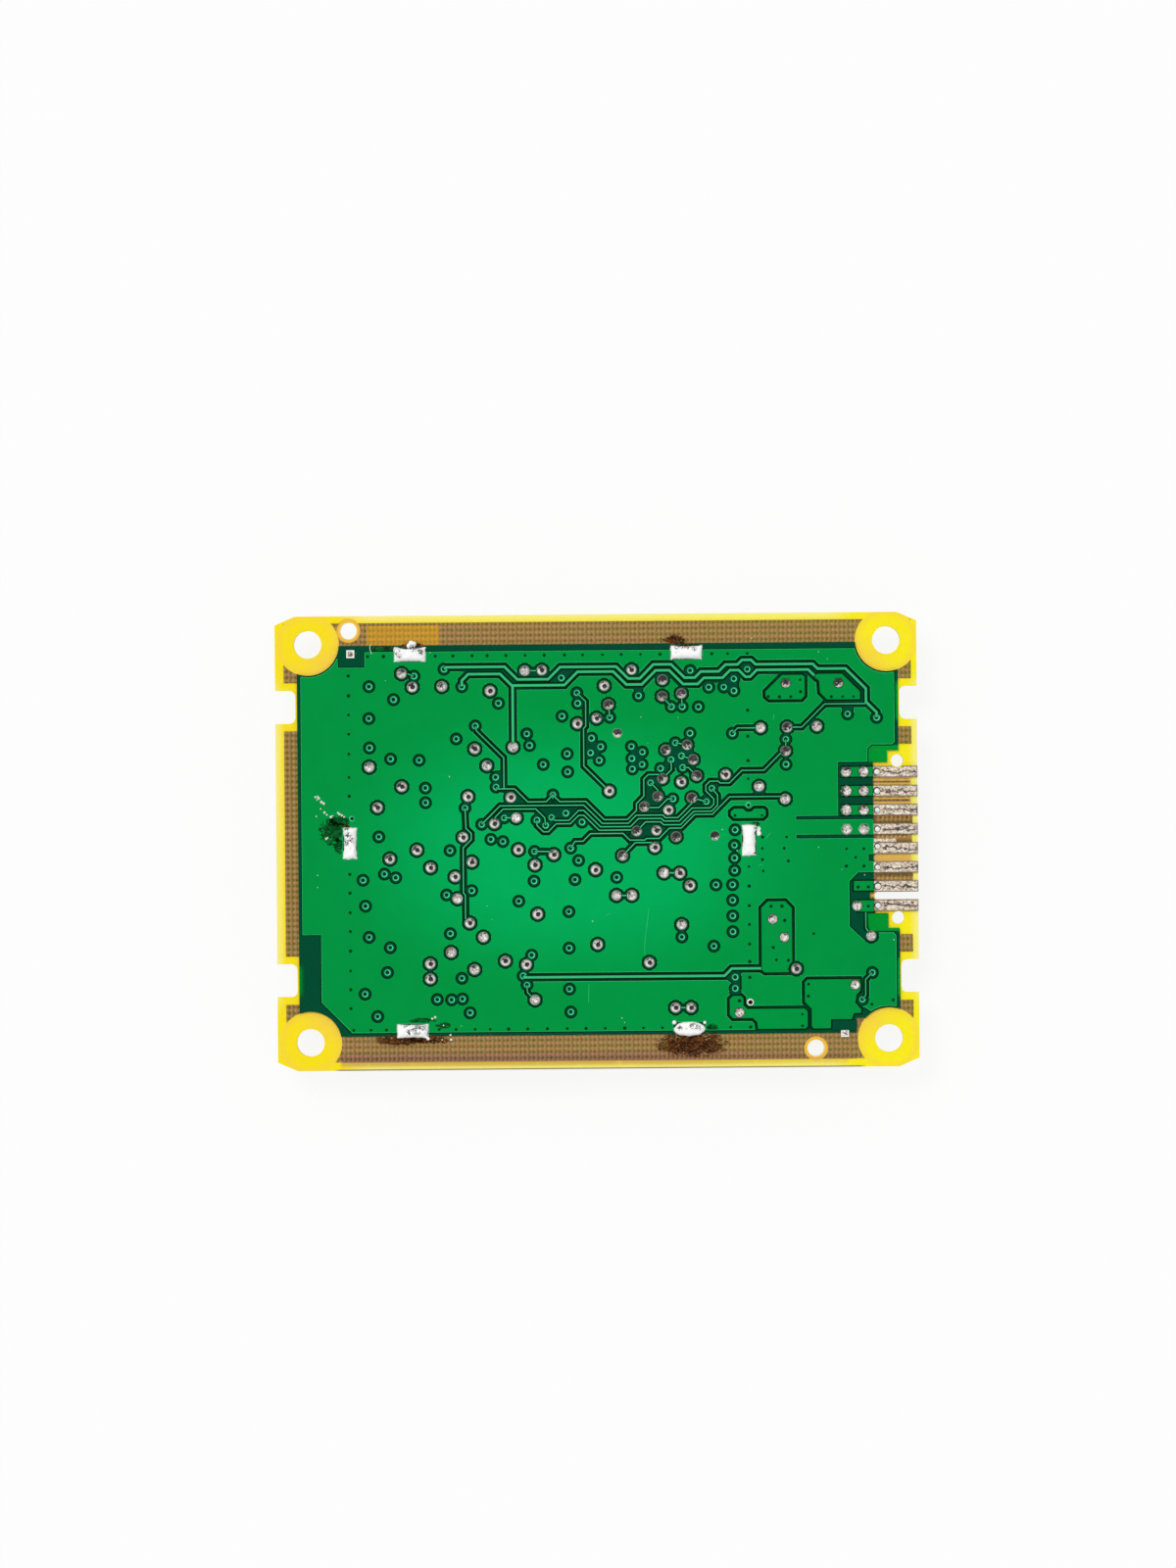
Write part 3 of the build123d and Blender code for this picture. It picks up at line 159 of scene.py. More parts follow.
# Crumbs of burnt flux: middle, half length, half width and count.
BURNS = [
    (-24.3, 26.3, 1.6, 0.2, 14), (10.2, 26.75, 1.8, 0.5, 40), (-24.6, -26.35, 4.4, 0.4, 60),
    (12.3, -27.0, 4.2, 1.1, 110), (-33.5, 2.3, 0.5, 0.2, 12), (20.8, 2.0, 0.4, 0.2, 8),
]
POCKETS = [                 # dark cracks in the solder joints: middle and reach
    (-24.4, 25.9, 0.5), (-23.5, 25.4, 0.45), (-26.6, 25.4, 0.45), (-26.3, 24.9, 0.3), (10.7, 25.8, 0.35),
    (11.5, 26.0, 0.45), (12.3, 25.85, 0.4), (12.9, 25.6, 0.35), (-24.4, -24.8, 0.7), (-23.7, -24.6, 0.6),
    (-25.4, -25.2, 0.4), (-25.9, -24.3, 0.3), (-22.8, -25.4, 0.35), (12.3, -24.6, 0.4), (12.8, -24.75, 0.4),
    (13.3, -24.9, 0.35), (10.6, -24.9, 0.35), (-33.5, 2.1, 0.4), (-33.3, 1.0, 0.5), (-33.5, 0.2, 0.45),
    (-32.8, 0.4, 0.4), (21.0, 1.8, 0.35), (20.9, 0.9, 0.25), (21.0, -1.8, 0.35),
]
DRIPS = [                   # lumps that spilled past the joints
    (-25.0, 26.25), (-24.7, 26.6), (-24.35, 26.45), (-24.5, 26.15), (21.3, 1.5), (21.35, 0.9), (-22.85, -26.05),
    (9.9, -24.15), (13.95, -24.2),
]
SPLASHES = [
    (-37.6, 6.2), (-37.3, 6.3), (-37.15, 6.05), (-37.4, 5.85), (-36.8, 5.55), (-36.5, 5.35), (-36.9, 4.65),
    (-36.4, 4.15), (-36.1, 3.85), (-35.55, 3.55), (-35.3, 3.7), (-34.6, 4.1), (-34.4, 3.9), (-34.1, 3.75),
    (-33.8, 3.55), (-37.5, 3.65), (-36.0, 0.8), (-36.2, 0.65), (-21.0, -26.2), (-19.8, -26.2), (-19.9, -25.6),
    (-20.8, -24.3), (-22.3, -23.4), (-21.9, -23.2),
]
SPECKS = [
    (-28.15, 21.6), (-32.05, 25.3), (-19.75, 8.8), (-14.9, -8.45), (-14.25, -10.25), (-0.85, -10.6),
    (5.8, 16.5), (10.75, 16.4), (6.7, 13.0), (29.3, -1.0), (32.4, -4.0), (16.5, 1.45), (-37.4, -4.2),
    (-37.4, -5.8), (21.25, 28.5), (31.2, 28.75), (20.6, 26.9), (-22.2, 25.3), (-18.45, -24.4),
    (-19.8, -25.5), (-1.75, -25.85), (2.95, -23.5), (3.3, -24.1), (30.65, 24.05), (29.5, 25.0),
    (39.2, -13.4), (35.4, -4.75), (18.45, -1.35),
]
SCRATCHES = [
    [(6.65, -9.0), (6.4, -11.0), (6.1, -13.0), (6.0, -15.0)], [(-1.4, -19.0), (-1.5, -21.4)],
    [(0.9, -9.9), (1.5, -9.5)], [(23.4, 16.0), (23.5, 16.8)], [(22.2, 0.1), (22.9, 1.0)],
    [(21.3, -3.4), (21.8, -3.2)],
]
HAIR = [(-30.05, 26.5), (-30.2, 26.1), (-30.15, 25.7), (-29.95, 25.2)]


def tint(red, green, blue):
    """Linear colour for the three screen values from 0 to 255."""
    return tuple(((v / 255 + 0.055) / 1.055) ** 2.4 if v > 10 else v / 255 / 12.92 for v in (red, green, blue))


def placed(x, y, height):
    """Metres in the frame from millimetres about the screw holes; the height is in metres already."""
    return (x + SHIFT) * MM, y * MM, height


def ringed(places, radius):
    return [(x, y, radius) for x, y in places]


def close(place, others):
    """Whether a place is within half a millimetre of one of the others."""
    return any(math.dist(place, other) < 0.5 for other in others)


def nodes_named(start):
    return sorted(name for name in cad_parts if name.startswith(start))


def level(node, top=True):
    """Height of a node's upper or lower face, in metres."""
    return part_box(node)[1 if top else 0].z


# ---- settings ------------------------------------------------------------
def length(name, default, description):
    return bpy.props.FloatProperty(name=name, default=default, unit="LENGTH", description=description)


def colour(name, default, description):
    return bpy.props.FloatVectorProperty(
        name=name, default=tint(*default), subtype="COLOR", size=3, min=0, max=1, description=description)


class ModuleSizes(bpy.types.PropertyGroup):
    """Sizes of what is added over the frame."""

    pad_ring: length("Pad ring", 1.06 * MM, "Outer radius of the bare ring round a test pad")
    via_ring: length("Via ring", 0.87 * MM, "Outer radius of the bare ring round a via")
    pad_radius: length("Pad radius", 0.695 * MM, "Radius of a soldered test pad")
    via_radius: length("Via radius", 0.45 * MM, "Outer radius of a lacquered via")
    stitch_radius: length("Stitch radius", 0.21 * MM, "Radius of a via in solid copper")
    # The pale line is a painted highlight along the pour's edges, over the thinner lacquer there.
    bead: length("Copper edge", 0.035 * MM, "Radius of the pale line along the pour's edges")
    # The dark lines and the channel shade are painted shade in the channels beside the copper, where the lacquer
    # is also thicker.
    dark_bead: length("Dark edge", 0.05 * MM, "Radius of the dark line along the edges of tracks and islands")
    channel_bead: length("Channel shade", 0.2 * MM, "Reach of the dark line in the channels beside copper")


class ModuleColours(bpy.types.PropertyGroup):
    """Colours of the board, its copper side and its component side."""

    resin: colour("Resin", (255, 234, 6), "Glass-epoxy of the board")
    resin_bright: colour("Bright resin", (255, 243, 14), "Glass-epoxy by the contacts")
    resin_warm: colour("Warm resin", (255, 214, 84), "Deeper resin away from the edges")
    resin_tan: colour("Tan resin", (236, 193, 96), "Resin between the contacts")
    resin_low: colour("Low resin", (218, 184, 84), "Resin above the lower edge")
    resin_pale: colour("Pale resin", (255, 248, 150), "Thin resin along the cut edges")
    plane: colour("Inner plane", (133, 90, 84), "Oxidised copper under the resin")
    window: colour("Window", (190, 132, 54), "Clear window in the inner plane")
    mask: colour("Mask", (0, 76, 50), "Green lacquer over the inner plane")
    mask_lit: colour("Lit mask", (0, 150, 50), "Green lacquer over bare resin")
    copper: colour("Coated copper", (0, 151, 66), "Green lacquer over copper")
    # The lit copies are the same lacquer with a painted pool of light over the board's middle.
    copper_lit: colour("Lit copper", (0, 176, 92), "The same lacquer under a painted pool of light, for the middle of the board")
    track: colour("Coated track", (58, 192, 124), "Green lacquer over the tracks")
    track_lit: colour("Lit track", (66, 202, 138), "The same lacquer under a painted pool of light, for the middle of the board")
    # Channel: painted shade over the thicker lacquer beside the copper.
    channel: colour("Channel", (0, 46, 17), "Thick lacquer with painted shade beside the copper's edges")
    # Copper edge: painted highlight over the thinner lacquer along the copper; the scratches use the same colour.
    edge: colour("Copper edge", (60, 206, 126), "Thin lacquer along copper edges, with a painted highlight")
    mint: colour("Via ring", (72, 206, 146), "Thin lacquer over the rings of the vias")
    well: colour("Via well", (0, 56, 30), "Lacquer sunk into a via")
    tin: colour("Tin", (198, 184, 176), "Tinned contacts and pads")
    # Painted shade in the dish of a pad: round its pin and on its shaded side.
    dish_shade: colour("Pad shade", (92, 78, 74), "Painted shade in the sunk middle of a pad and on its shaded side")
    solder: colour("Solder", (236, 232, 226), "Bright solder")
    sheet: colour("Sheet", (200, 198, 192), "Tinned sheet steel")
    burn: colour("Burnt flux", (46, 24, 10), "Scorched flux round the joints")
    stain: colour("Flux stain", (116, 66, 26), "Brown flux round the joints")
    moulding: colour("Moulding", (34, 34, 36), "Moulded black epoxy")


class ModuleStage(bpy.types.PropertyGroup):
    """Camera and lighting."""

    lens: bpy.props.FloatProperty(name="Lens", default=120, subtype="DISTANCE_CAMERA", description="Focal length")
    field: length("Field", 208.6 * MM, "Height of the picture in the plane of the board")
    aside: length("Aside", -1.316 * MM, "Camera's place along the board")
    across: length("Across", 7.661 * MM, "Camera's place across the board")
    turn: bpy.props.FloatProperty(name="Turn", default=math.radians(-0.48), subtype="ANGLE",
                                  description="Turn of the camera about its view")
    sky: bpy.props.FloatProperty(name="Sky", default=0.62, description="Strength of the even light")
    sun: bpy.props.FloatProperty(name="Sun", default=1.25, description="Strength of the lamp")


# ---- shader building -----------------------------------------------------
class Wire:
    """One number in a shader, used with the usual arithmetic signs."""

    def __init__(self, graph, socket):
        self.graph = graph
        self.socket = socket

    def maths(self, operation, *values):
        return self.graph.wire("ShaderNodeMath", *values, operation=operation)

    def __add__(self, other):
        return self.maths("ADD", self, other)

    def __radd__(self, other):
        return self.maths("ADD", other, self)

    def __sub__(self, other):
        return self.maths("SUBTRACT", self, other)

    def __rsub__(self, other):
        return self.maths("SUBTRACT", other, self)

    def __mul__(self, other):
        return self.maths("MULTIPLY", self, other)

    def __rmul__(self, other):
        return self.maths("MULTIPLY", other, self)

    def __truediv__(self, other):
        return self.maths("DIVIDE", self, other)

    def __rtruediv__(self, other):
        return self.maths("DIVIDE", other, self)

    def sine(self):
        return self.maths("SINE", self)

    def size(self):
        return self.maths("ABSOLUTE", self)

    def root(self):
        return self.maths("SQRT", self)

    def fraction(self):
        return self.maths("FRACT", self)

    def most(self, other):
        return self.maths("MAXIMUM", self, other)

    def least(self, other):
        return self.maths("MINIMUM", self, other)

    def ramp(self, low, high):
        """0 below low and 1 above high, smooth between; falls if low is above high."""
        if low > high:
            return 1 - self.ramp(high, low)
        return self.graph.wire("ShaderNodeMapRange", self, low, high, interpolation_type="SMOOTHSTEP")


def most_of(wires):
    return functools.reduce(Wire.most, wires)


class Nodes:
    """Adds nodes to an emptied tree."""

    def __init__(self, tree):
        self.tree = tree
        tree.nodes.clear()

    def node(self, kind, *values, **settings):
        """Adds a node; values fill its inputs in order, and None skips one."""
        node = self.tree.nodes.new(kind)
        for name, setting in settings.items():
            setattr(node, name, setting)
        for socket, value in zip(node.inputs, values):
            self.feed(socket, value)
        return node

    def wire(self, kind, *values, **settings):
        """The first output of a new node, as a number."""
        return Wire(self, self.node(kind, *values, **settings).outputs[0])

    def feed(self, socket, value):
        if isinstance(value, Wire):
            value = value.socket
        if isinstance(value, bpy.types.NodeSocket):
            self.tree.links.new(value, socket)
        elif value is not None:
            whole = getattr(socket, "type", "") == "RGBA" and len(value) == 3
            socket.default_value = (*value, 1) if whole else value


class Graph(Nodes):
    """Builds the nodes of one material, in millimetres about the screw holes."""

    def __init__(self, name):
        self.material = bpy.data.materials.new(name)
        self.material.use_nodes = True
        super().__init__(self.material.node_tree)
        place = self.node("ShaderNodeTexCoord").outputs["Object"]
        self.place = self.node("ShaderNodeVectorMath", place, (1 / MM,) * 3, operation="MULTIPLY").outputs[0]
        across, self.y = self.split(self.place)
        self.x = across - SHIFT

    def split(self, place):
        return [Wire(self, socket) for socket in self.node("ShaderNodeSeparateXYZ", place).outputs[:2]]

    def stretched(self, across, along, up=1.0):
        """The place, scaled along each axis."""
        return self.node("ShaderNodeVectorMath", self.place, (across, along, up), operation="MULTIPLY").outputs[0]

    def noise(self, scale, detail=2.0, rough=0.5, place=None):
        return self.wire("ShaderNodeTexNoise", place or self.place, None, scale, detail, rough)

    def cells(self, scale):
        return self.wire("ShaderNodeTexVoronoi", self.place, None, scale)

    def mix(self, amount, first, second):
        return self.node("ShaderNodeMix", amount, *[None] * 5, first, second, data_type="RGBA").outputs[2]

    def layers(self, base, *coats):
        """Lays colours over one another, each by its own amount."""
        for amount, tone in coats:
            base = self.mix(amount, base, tone)
        return base

    def shade(self, tone, amount):
        """Colour times a number."""
        return self.node("ShaderNodeVectorMath", tone, None, None, amount, operation="SCALE").outputs[0]

    def box(self, left, bottom, right, top, soft=0.15):
        """1 inside a rectangle of the board, 0 outside."""
        def within(way, low, high):
            half = (high - low) / 2
            return (way - (low + high) / 2).size().ramp(half + soft, half - soft)

        return within(self.x, left, right) * within(self.y, bottom, top)

    def near(self, x, y, inner, outer):
        """1 within the inner radius of a point, 0 past the outer one."""
        across, along = self.x - x, self.y - y
        return (across * across + along * along).root().ramp(outer, inner)

    def spot(self):
        """Place within one repeated piece, from -1 to 1 across it and along it, and the reach from its middle."""
        across, along = self.split(self.node("ShaderNodeAttribute", attribute_name="spot").outputs["Vector"])
        return across, along, (across * across + along * along).root()

    def weave(self, pitch):
        """Crossed threads, from -1 to 1."""
        turn = math.tau / pitch
        return (self.x * turn).sine() * (self.y * turn).sine()

    def finish(self, base, rough=0.5, metal=0.0, bump=None, rise=0.1, specular=0.5, **others):
        """Joins everything to one Principled shader."""
        shader = self.node("ShaderNodeBsdfPrincipled")
        wanted = {"Base Color": base, "Roughness": rough, "Metallic": metal, "Specular IOR Level": specular,
                  **others}
        if bump is not None:
            relief = self.node("ShaderNodeBump")
            self.feed(relief.inputs["Height"], bump)
            self.feed(relief.inputs["Distance"], rise * MM)
            wanted["Normal"] = relief.outputs[0]
        for name, value in wanted.items():
            self.feed(shader.inputs[name], value)
        self.node("ShaderNodeOutputMaterial", shader.outputs[0])
        return self.material


# ---- geometry building ---------------------------------------------------
class Tree(Nodes):
    """Builds one Geometry Nodes group with named inputs."""

    def __init__(self, name, **inputs):
        super().__init__(bpy.data.node_groups.new(name, "GeometryNodeTree"))
        for label, kind in {"Geometry": "Geometry", **inputs}.items():
            self.tree.interface.new_socket(label, in_out="INPUT", socket_type=f"NodeSocket{kind}")
        self.tree.interface.new_socket("Geometry", in_out="OUTPUT", socket_type="NodeSocketGeometry")
        self.inputs = self.node("NodeGroupInput").outputs

    def node(self, kind, settings=None, **values):
        """Adds a node; values fill its inputs by name, or by number as i0, i1 and so on."""
        node = super().node(kind, **(settings or {}))
        for name, value in values.items():
            self.feed(node.inputs[int(name[1:]) if name[1:].isdigit() else name], value)
        return node

    def finish(self, geometry, material):
        real = self.node("GeometryNodeRealizeInstances", Geometry=geometry)
        coated = self.node("GeometryNodeSetMaterial", Geometry=real.outputs[0], Material=material)
        self.node("NodeGroupOutput", Geometry=coated.outputs[0])
        return self.tree


def drilled_group():
    """Cuts round holes out of a solid at marked places."""
    tree = Tree("Drilled", Places="Object", Sides="Int", Material="Material")
    solid, places, sides, material = tree.inputs[:4]
    marked = tree.node("GeometryNodeObjectInfo", Object=places)
    rod = tree.node("GeometryNodeMeshCylinder", Vertices=sides, Radius=1.0, Depth=6 * MM)
    radius = tree.node("GeometryNodeInputNamedAttribute", {"data_type": "FLOAT"}, Name="radius").outputs[0]
    scale = tree.node("ShaderNodeCombineXYZ", X=radius, Y=radius, Z=1.0)
    rods = tree.node("GeometryNodeInstanceOnPoints", Points=marked.outputs["Geometry"], Instance=rod.outputs[0],
                     Scale=scale.outputs[0])
    cut = tree.node("GeometryNodeMeshBoolean", {"operation": "DIFFERENCE", "solver": "MANIFOLD"},
                    i0=solid, i1=rods.outputs[0])
    return tree.finish(cut.outputs[0], material)


def beaded_group():
    """Lays a thin bead along loose edges."""
    tree = Tree("Beaded", Radius="Float", Material="Material")
    edges, radius, material = tree.inputs[:3]
    line = tree.node("GeometryNodeMeshToCurve", Mesh=edges)
    ring = tree.node("GeometryNodeCurvePrimitiveCircle", Resolution=6, Radius=radius)
    bead = tree.node("GeometryNodeCurveToMesh", Curve=line.outputs[0], **{"Profile Curve": ring.outputs[0]})
    return tree.finish(bead.outputs[0], material)


def strewn_group():
    """Puts a copy of one piece at each marked place, turned and sized at random."""
    tree = Tree("Strewn", Piece="Object", Seed="Int", Smallest="Float", Largest="Float", Turn="Float",
                Material="Material")
    places, piece, seed, smallest, largest, most, material = tree.inputs[:7]

    def drawn(low, high):
        return tree.node("FunctionNodeRandomValue", {"data_type": "FLOAT"}, i2=low, i3=high, Seed=seed).outputs[1]

    size, turn = drawn(smallest, largest), drawn(0.0, most)
    copies = tree.node("GeometryNodeInstanceOnPoints", Points=places, Scale=size,
                       Instance=tree.node("GeometryNodeObjectInfo", Object=piece).outputs["Geometry"],
                       Rotation=tree.node("ShaderNodeCombineXYZ", Z=turn).outputs[0])
    return tree.finish(copies.outputs[0], material)


def group_named(name):
    makers = {"Drilled": drilled_group, "Beaded": beaded_group, "Strewn": strewn_group}
    return bpy.data.node_groups.get(name) or makers[name]()


def plain_mesh(name, verts, faces, material=None, edges=()):
    mesh = bpy.data.meshes.new(name)
    mesh.from_pydata(verts, edges, faces)
    if material:
        mesh.materials.append(material)
    return mesh


def marks(places, radii=None):
    """A hidden mesh of points; places are x, y and z in metres."""
    mesh = plain_mesh("marks", places, [])
    if radii is not None:
        mesh.attributes.new("radius", "FLOAT", "POINT").data.foreach_set("value", radii)
    return mesh


def linked(name, mesh):
    obj = bpy.data.objects.new(name, mesh)
    bpy.context.scene.collection.objects.link(obj)
    return obj


def keep(obj, replaced=()):
    """Makes an object a piece of the module."""
    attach(obj, "root")
    if replaced:
        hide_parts(*replaced)
    return obj


def grown(name, mesh, group, slot=None, replaced=(), **inputs):
    """Runs a node group on a mesh and keeps its result as a plain mesh."""
    obj = linked(name, mesh)
    modifier = obj.modifiers.new(group, "NODES")
    modifier.node_group = group_named(group)
    for item in modifier.node_group.interface.items_tree:
        if item.in_out == "INPUT" and item.name in inputs:
            modifier[item.identifier] = inputs[item.name]
    depsgraph = bpy.context.evaluated_depsgraph_get()
    made = bpy.data.meshes.new_from_object(obj.evaluated_get(depsgraph), depsgraph=depsgraph)
    obj.modifiers.remove(modifier)
    obj.data = made
    if not made.polygons:
        raise RuntimeError(f"{name} came out empty")
    return keep(obj, replaced)


def drilled(name, node, holes, material, slot, sides=40):
    """A node's solid with round holes, in place of the node; holes are x, y and radius in millimetres."""
    middle = level("rear_prepreg")
    drills = linked("drills", marks([placed(x, y, middle) for x, y, _ in holes], [hole[2] * MM for hole in holes]))
    obj = grown(name, welded(node), "Drilled", slot, [node], Places=drills, Sides=sides, Material=material)
    obj.data.shade_flat()
    bpy.data.objects.remove(drills)
    return obj


def lathe(profile, sides):
    """Turned mesh; profile is radius and height pairs in millimetres, from the axis out."""
    verts, faces = [(0, 0, profile[0][1] * MM)], []
    for radius, height in profile[1:]:
        for step in range(sides):
            angle = math.tau * step / sides
            verts.append((radius * MM * math.cos(angle), radius * MM * math.sin(angle), height * MM))
    faces += [(0, 1 + step, 1 + (step + 1) % sides) for step in range(sides)]
    for ring in range(len(profile) - 2):
        low, high = 1 + ring * sides, 1 + (ring + 1) * sides
        for step in range(sides):
            after = (step + 1) % sides
            faces.append((low + step, high + step, high + after, low + after))
    mesh = plain_mesh("turned", verts, faces)
    mesh.shade_smooth()
    reach = max(radius for radius, _ in profile) * MM
    spots(mesh, [(x / reach, y / reach) for x, y, _ in verts])
    return mesh


def spots(mesh, places):
    """Stores each corner's place within its own piece, for the materials."""
    layer = mesh.attributes.new("spot", "FLOAT_VECTOR", "POINT")
    layer.data.foreach_set("vector", [value for across, along in places for value in (across, along, 0)])


def strewn(name, places, profile, height, material, slot, seed=1, spread=(1.0, 1.0), sides=16, replaced=(),
           turn=math.tau):
    """Copies of one turned piece at places given in millimetres."""
    piece = linked("piece", lathe(profile, sides))
    obj = grown(name, marks([placed(x, y, height) for x, y in places]), "Strewn", slot, replaced, Piece=piece,
                Seed=seed, Smallest=spread[0], Largest=spread[1], Turn=turn, Material=material)
    obj.data.shade_smooth()
    bpy.data.objects.remove(piece)
    return obj


def ribbons(name, lines, width, height, material):
    """Flat strips of even width along lines given in millimetres, facing up."""
    verts, faces = [], []
    for line in lines:
        for place, (x, y) in enumerate(line):
            before, after = line[max(place - 1, 0)], line[min(place + 1, len(line) - 1)]
            across = Vector((before[1] - after[1], after[0] - before[0])).normalized() * width / 2
            verts += [placed(x + side * across.x, y + side * across.y, height) for side in (-1, 1)]
            if place:
                last = len(verts)
                faces.append((last - 4, last - 2, last - 1, last - 3))
    return keep(linked(name, plain_mesh(name, verts, faces, material)))


def films(name, places, height, material):
    """Thin flat stains; places are x, y, half length and half width in millimetres."""
    verts, faces, inside, sides = [], [], [], 24
    for x, y, along, across in places:
        first = len(verts)
        rim = [(math.cos(math.tau * step / sides), math.sin(math.tau * step / sides)) for step in range(sides)]
        inside += [(0, 0)] + rim
        verts += [placed(x + along * u, y + across * v, height) for u, v in [(0, 0)] + rim]
        faces += [(first, first + 1 + step, first + 1 + (step + 1) % sides) for step in range(sides)]
    mesh = plain_mesh(name, verts, faces, material)
    spots(mesh, inside)
    keep(linked(name, mesh))


def node_mesh(node):
    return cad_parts[node].data


def gathered(mesh):
    """A copy to edit, with shared corners joined."""
    copy = bmesh.new()
    copy.from_mesh(mesh)
    bmesh.ops.remove_doubles(copy, verts=copy.verts, dist=MM / 1000)
    return copy


def outline(mesh, holes):
    """Bare edges round a plate's upper face, without those of its round holes."""
    plate = gathered(mesh)
    top = max(vert.co.z for vert in plate.verts) - 0.001 * MM

    def on_hole(vert):
        place = vert.co.x / MM - SHIFT, vert.co.y / MM
        return any(abs(math.dist(place, hole[:2]) - hole[2]) < 0.03 for hole in holes)

    cut = {vert for vert in plate.verts if vert.co.z > top and on_hole(vert)}
    verts, edges, index = [], [], {}
    for edge in plate.edges:
        upward = [face.normal.z > 0.9 for face in edge.link_faces]
        ends = edge.verts
        below = min(end.co.z for end in ends) < top
        if below or not any(upward) or all(upward) or all(end in cut for end in ends):
            continue
        for end in ends:
            if end not in index:
                index[end] = len(verts)
                verts.append(end.co[:])
        edges.append((index[ends[0]], index[ends[1]]))
    plate.free()
    return plain_mesh("outline", verts, [], edges=edges)


def solder_heap(node, material):
    """Lumpy solder over the plain form of one joint."""
    low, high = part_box(node)
    middle, size = (low + high) / 2, high - low
    along_x = size.x > size.y
    count, oval = 30, node == OVAL_JOINT
    verts, faces, inside = [], [], []
    for i in range(count + 1):
        for j in range(count + 1):
            u, v = 2 * i / count - 1, 2 * j / count - 1
            inside.append((u, v))
            across, along = u, v
            if oval:
                across, along = u * math.sqrt(1 - v * v / 2), v * math.sqrt(1 - u * u / 2)
            narrow, wide = (u, v) if along_x else (v, u)
            waist = 1 if oval else 0.86 + 0.2 * narrow * narrow - 0.05 * (1 - wide * wide)
            x = middle.x + across * size.x / 2 * (1 if along_x else waist)
            y = middle.y + along * size.y / 2 * (waist if along_x else 1)
            rise = (1 - narrow ** 8) * (1 - wide ** 4)
            lump = noise.noise(Vector((x, y, 0)) * 1300) * 0.2 + noise.noise(Vector((x, y, MM)) * 3500) * 0.06
            ragged = noise.noise(Vector((x, y, 2 * MM)) * 1800) * 0.12 * MM
            edge = max(abs(u), abs(v)) ** 6
            verts.append((x + ragged * edge, y - ragged * edge, low.z + size.z * rise * (0.8 + lump)))
            if i and j:
                last = len(verts) - 1
                faces.append((last - count - 2, last - 1, last, last - count - 1))
    mesh = plain_mesh("heap", verts, faces, material)
    spots(mesh, inside)
    mesh.shade_smooth()
    return mesh


def middles(node):
    """Centre of each separate solid in a node, x and y in millimetres."""
    mesh = gathered(node_mesh(node))
    left, found = set(mesh.verts), []
    while left:
        stack, island = [left.pop()], []
        while stack:
            vert = stack.pop()
            island.append(vert.co)
            for other in [edge.other_vert(vert) for edge in vert.link_edges]:
                if other in left:
                    left.remove(other)
                    stack.append(other)
        xs, ys = [co.x for co in island], [co.y for co in island]
        found.append(((min(xs) + max(xs)) / 2 / MM - SHIFT, (min(ys) + max(ys)) / 2 / MM))
    mesh.free()
    return sorted(found)


def welded(node):
    """A node's mesh with shared corners joined."""
    mesh, made = gathered(node_mesh(node)), bpy.data.meshes.new("welded")
    mesh.to_mesh(made)
    mesh.free()
    made.shade_flat()
    return made


def coat(material, *nodes):
    """Gives frame nodes their material."""
    for node in nodes:
        node_mesh(node).materials.clear()
        node_mesh(node).materials.append(material)


def sizes():
    return bpy.context.scene.module_sizes


def colours():
    return bpy.context.scene.module_colours


# ---- materials -----------------------------------------------------------
def from_edge(graph):
    """Distance in from the nearest straight edge of the board."""
    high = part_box("board_core")[1] / MM
    return (high.x - (graph.x + SHIFT).size()).least(high.y - graph.y.size())


def resin_colour(graph):
    """Yellow, warmer away from the edges, tan between the contacts, pale where it is cut, with a painted shadow
    line along the lower edge.
    """
    paint, inward = colours(), from_edge(graph)
    warm = inward.ramp(1.5, 8.5) * 0.75 + graph.noise(0.15, 3).ramp(0.45, 0.75) * 0.05
    pale = inward.ramp(1.3, 0.0) * 0.85
    for x, y in HOLES:
        pale = pale * (1 - graph.near(x, y, 5.2, 9.0))
    low = graph.box(*LOWER_BAND, 0.3) * (graph.x.ramp(30.0, 8.0) * 0.5 + 0.4)
    # Painted shadow line along the board's lower edge.
    below = (graph.y + 30.3).ramp(0.3, 0.1) * graph.x.size().ramp(35.5, 34.5)
    base = graph.layers(
        paint.resin,
        (graph.x.ramp(-42.0, 42.0), paint.resin_bright),
        (warm, paint.resin_warm),
        (graph.box(*GAPS, 0.25), paint.resin_tan),
        (pale, paint.resin_pale),
        (low * graph.noise(0.9, 3).ramp(0.0, 0.45), paint.resin_low),
        (graph.box(*LOWER_LINE, 0.1) * 0.65, tint(150, 112, 52)))
    for x, y in HOLES:
        ring = graph.near(x, y, 4.0, 4.3) * (1 - graph.near(x, y, 2.9, 4.0))
        base = graph.mix(ring * 0.4, base, paint.resin_warm)
    for x, y in TOOLING:
        base = graph.layers(base, (graph.near(x, y, 1.55, 1.75) * 0.8, tint(244, 186, 74)),
                            (graph.near(x, y, 1.1, 1.3) * 0.6, paint.resin_pale))
    return graph.mix(below, base, tint(118, 104, 70))


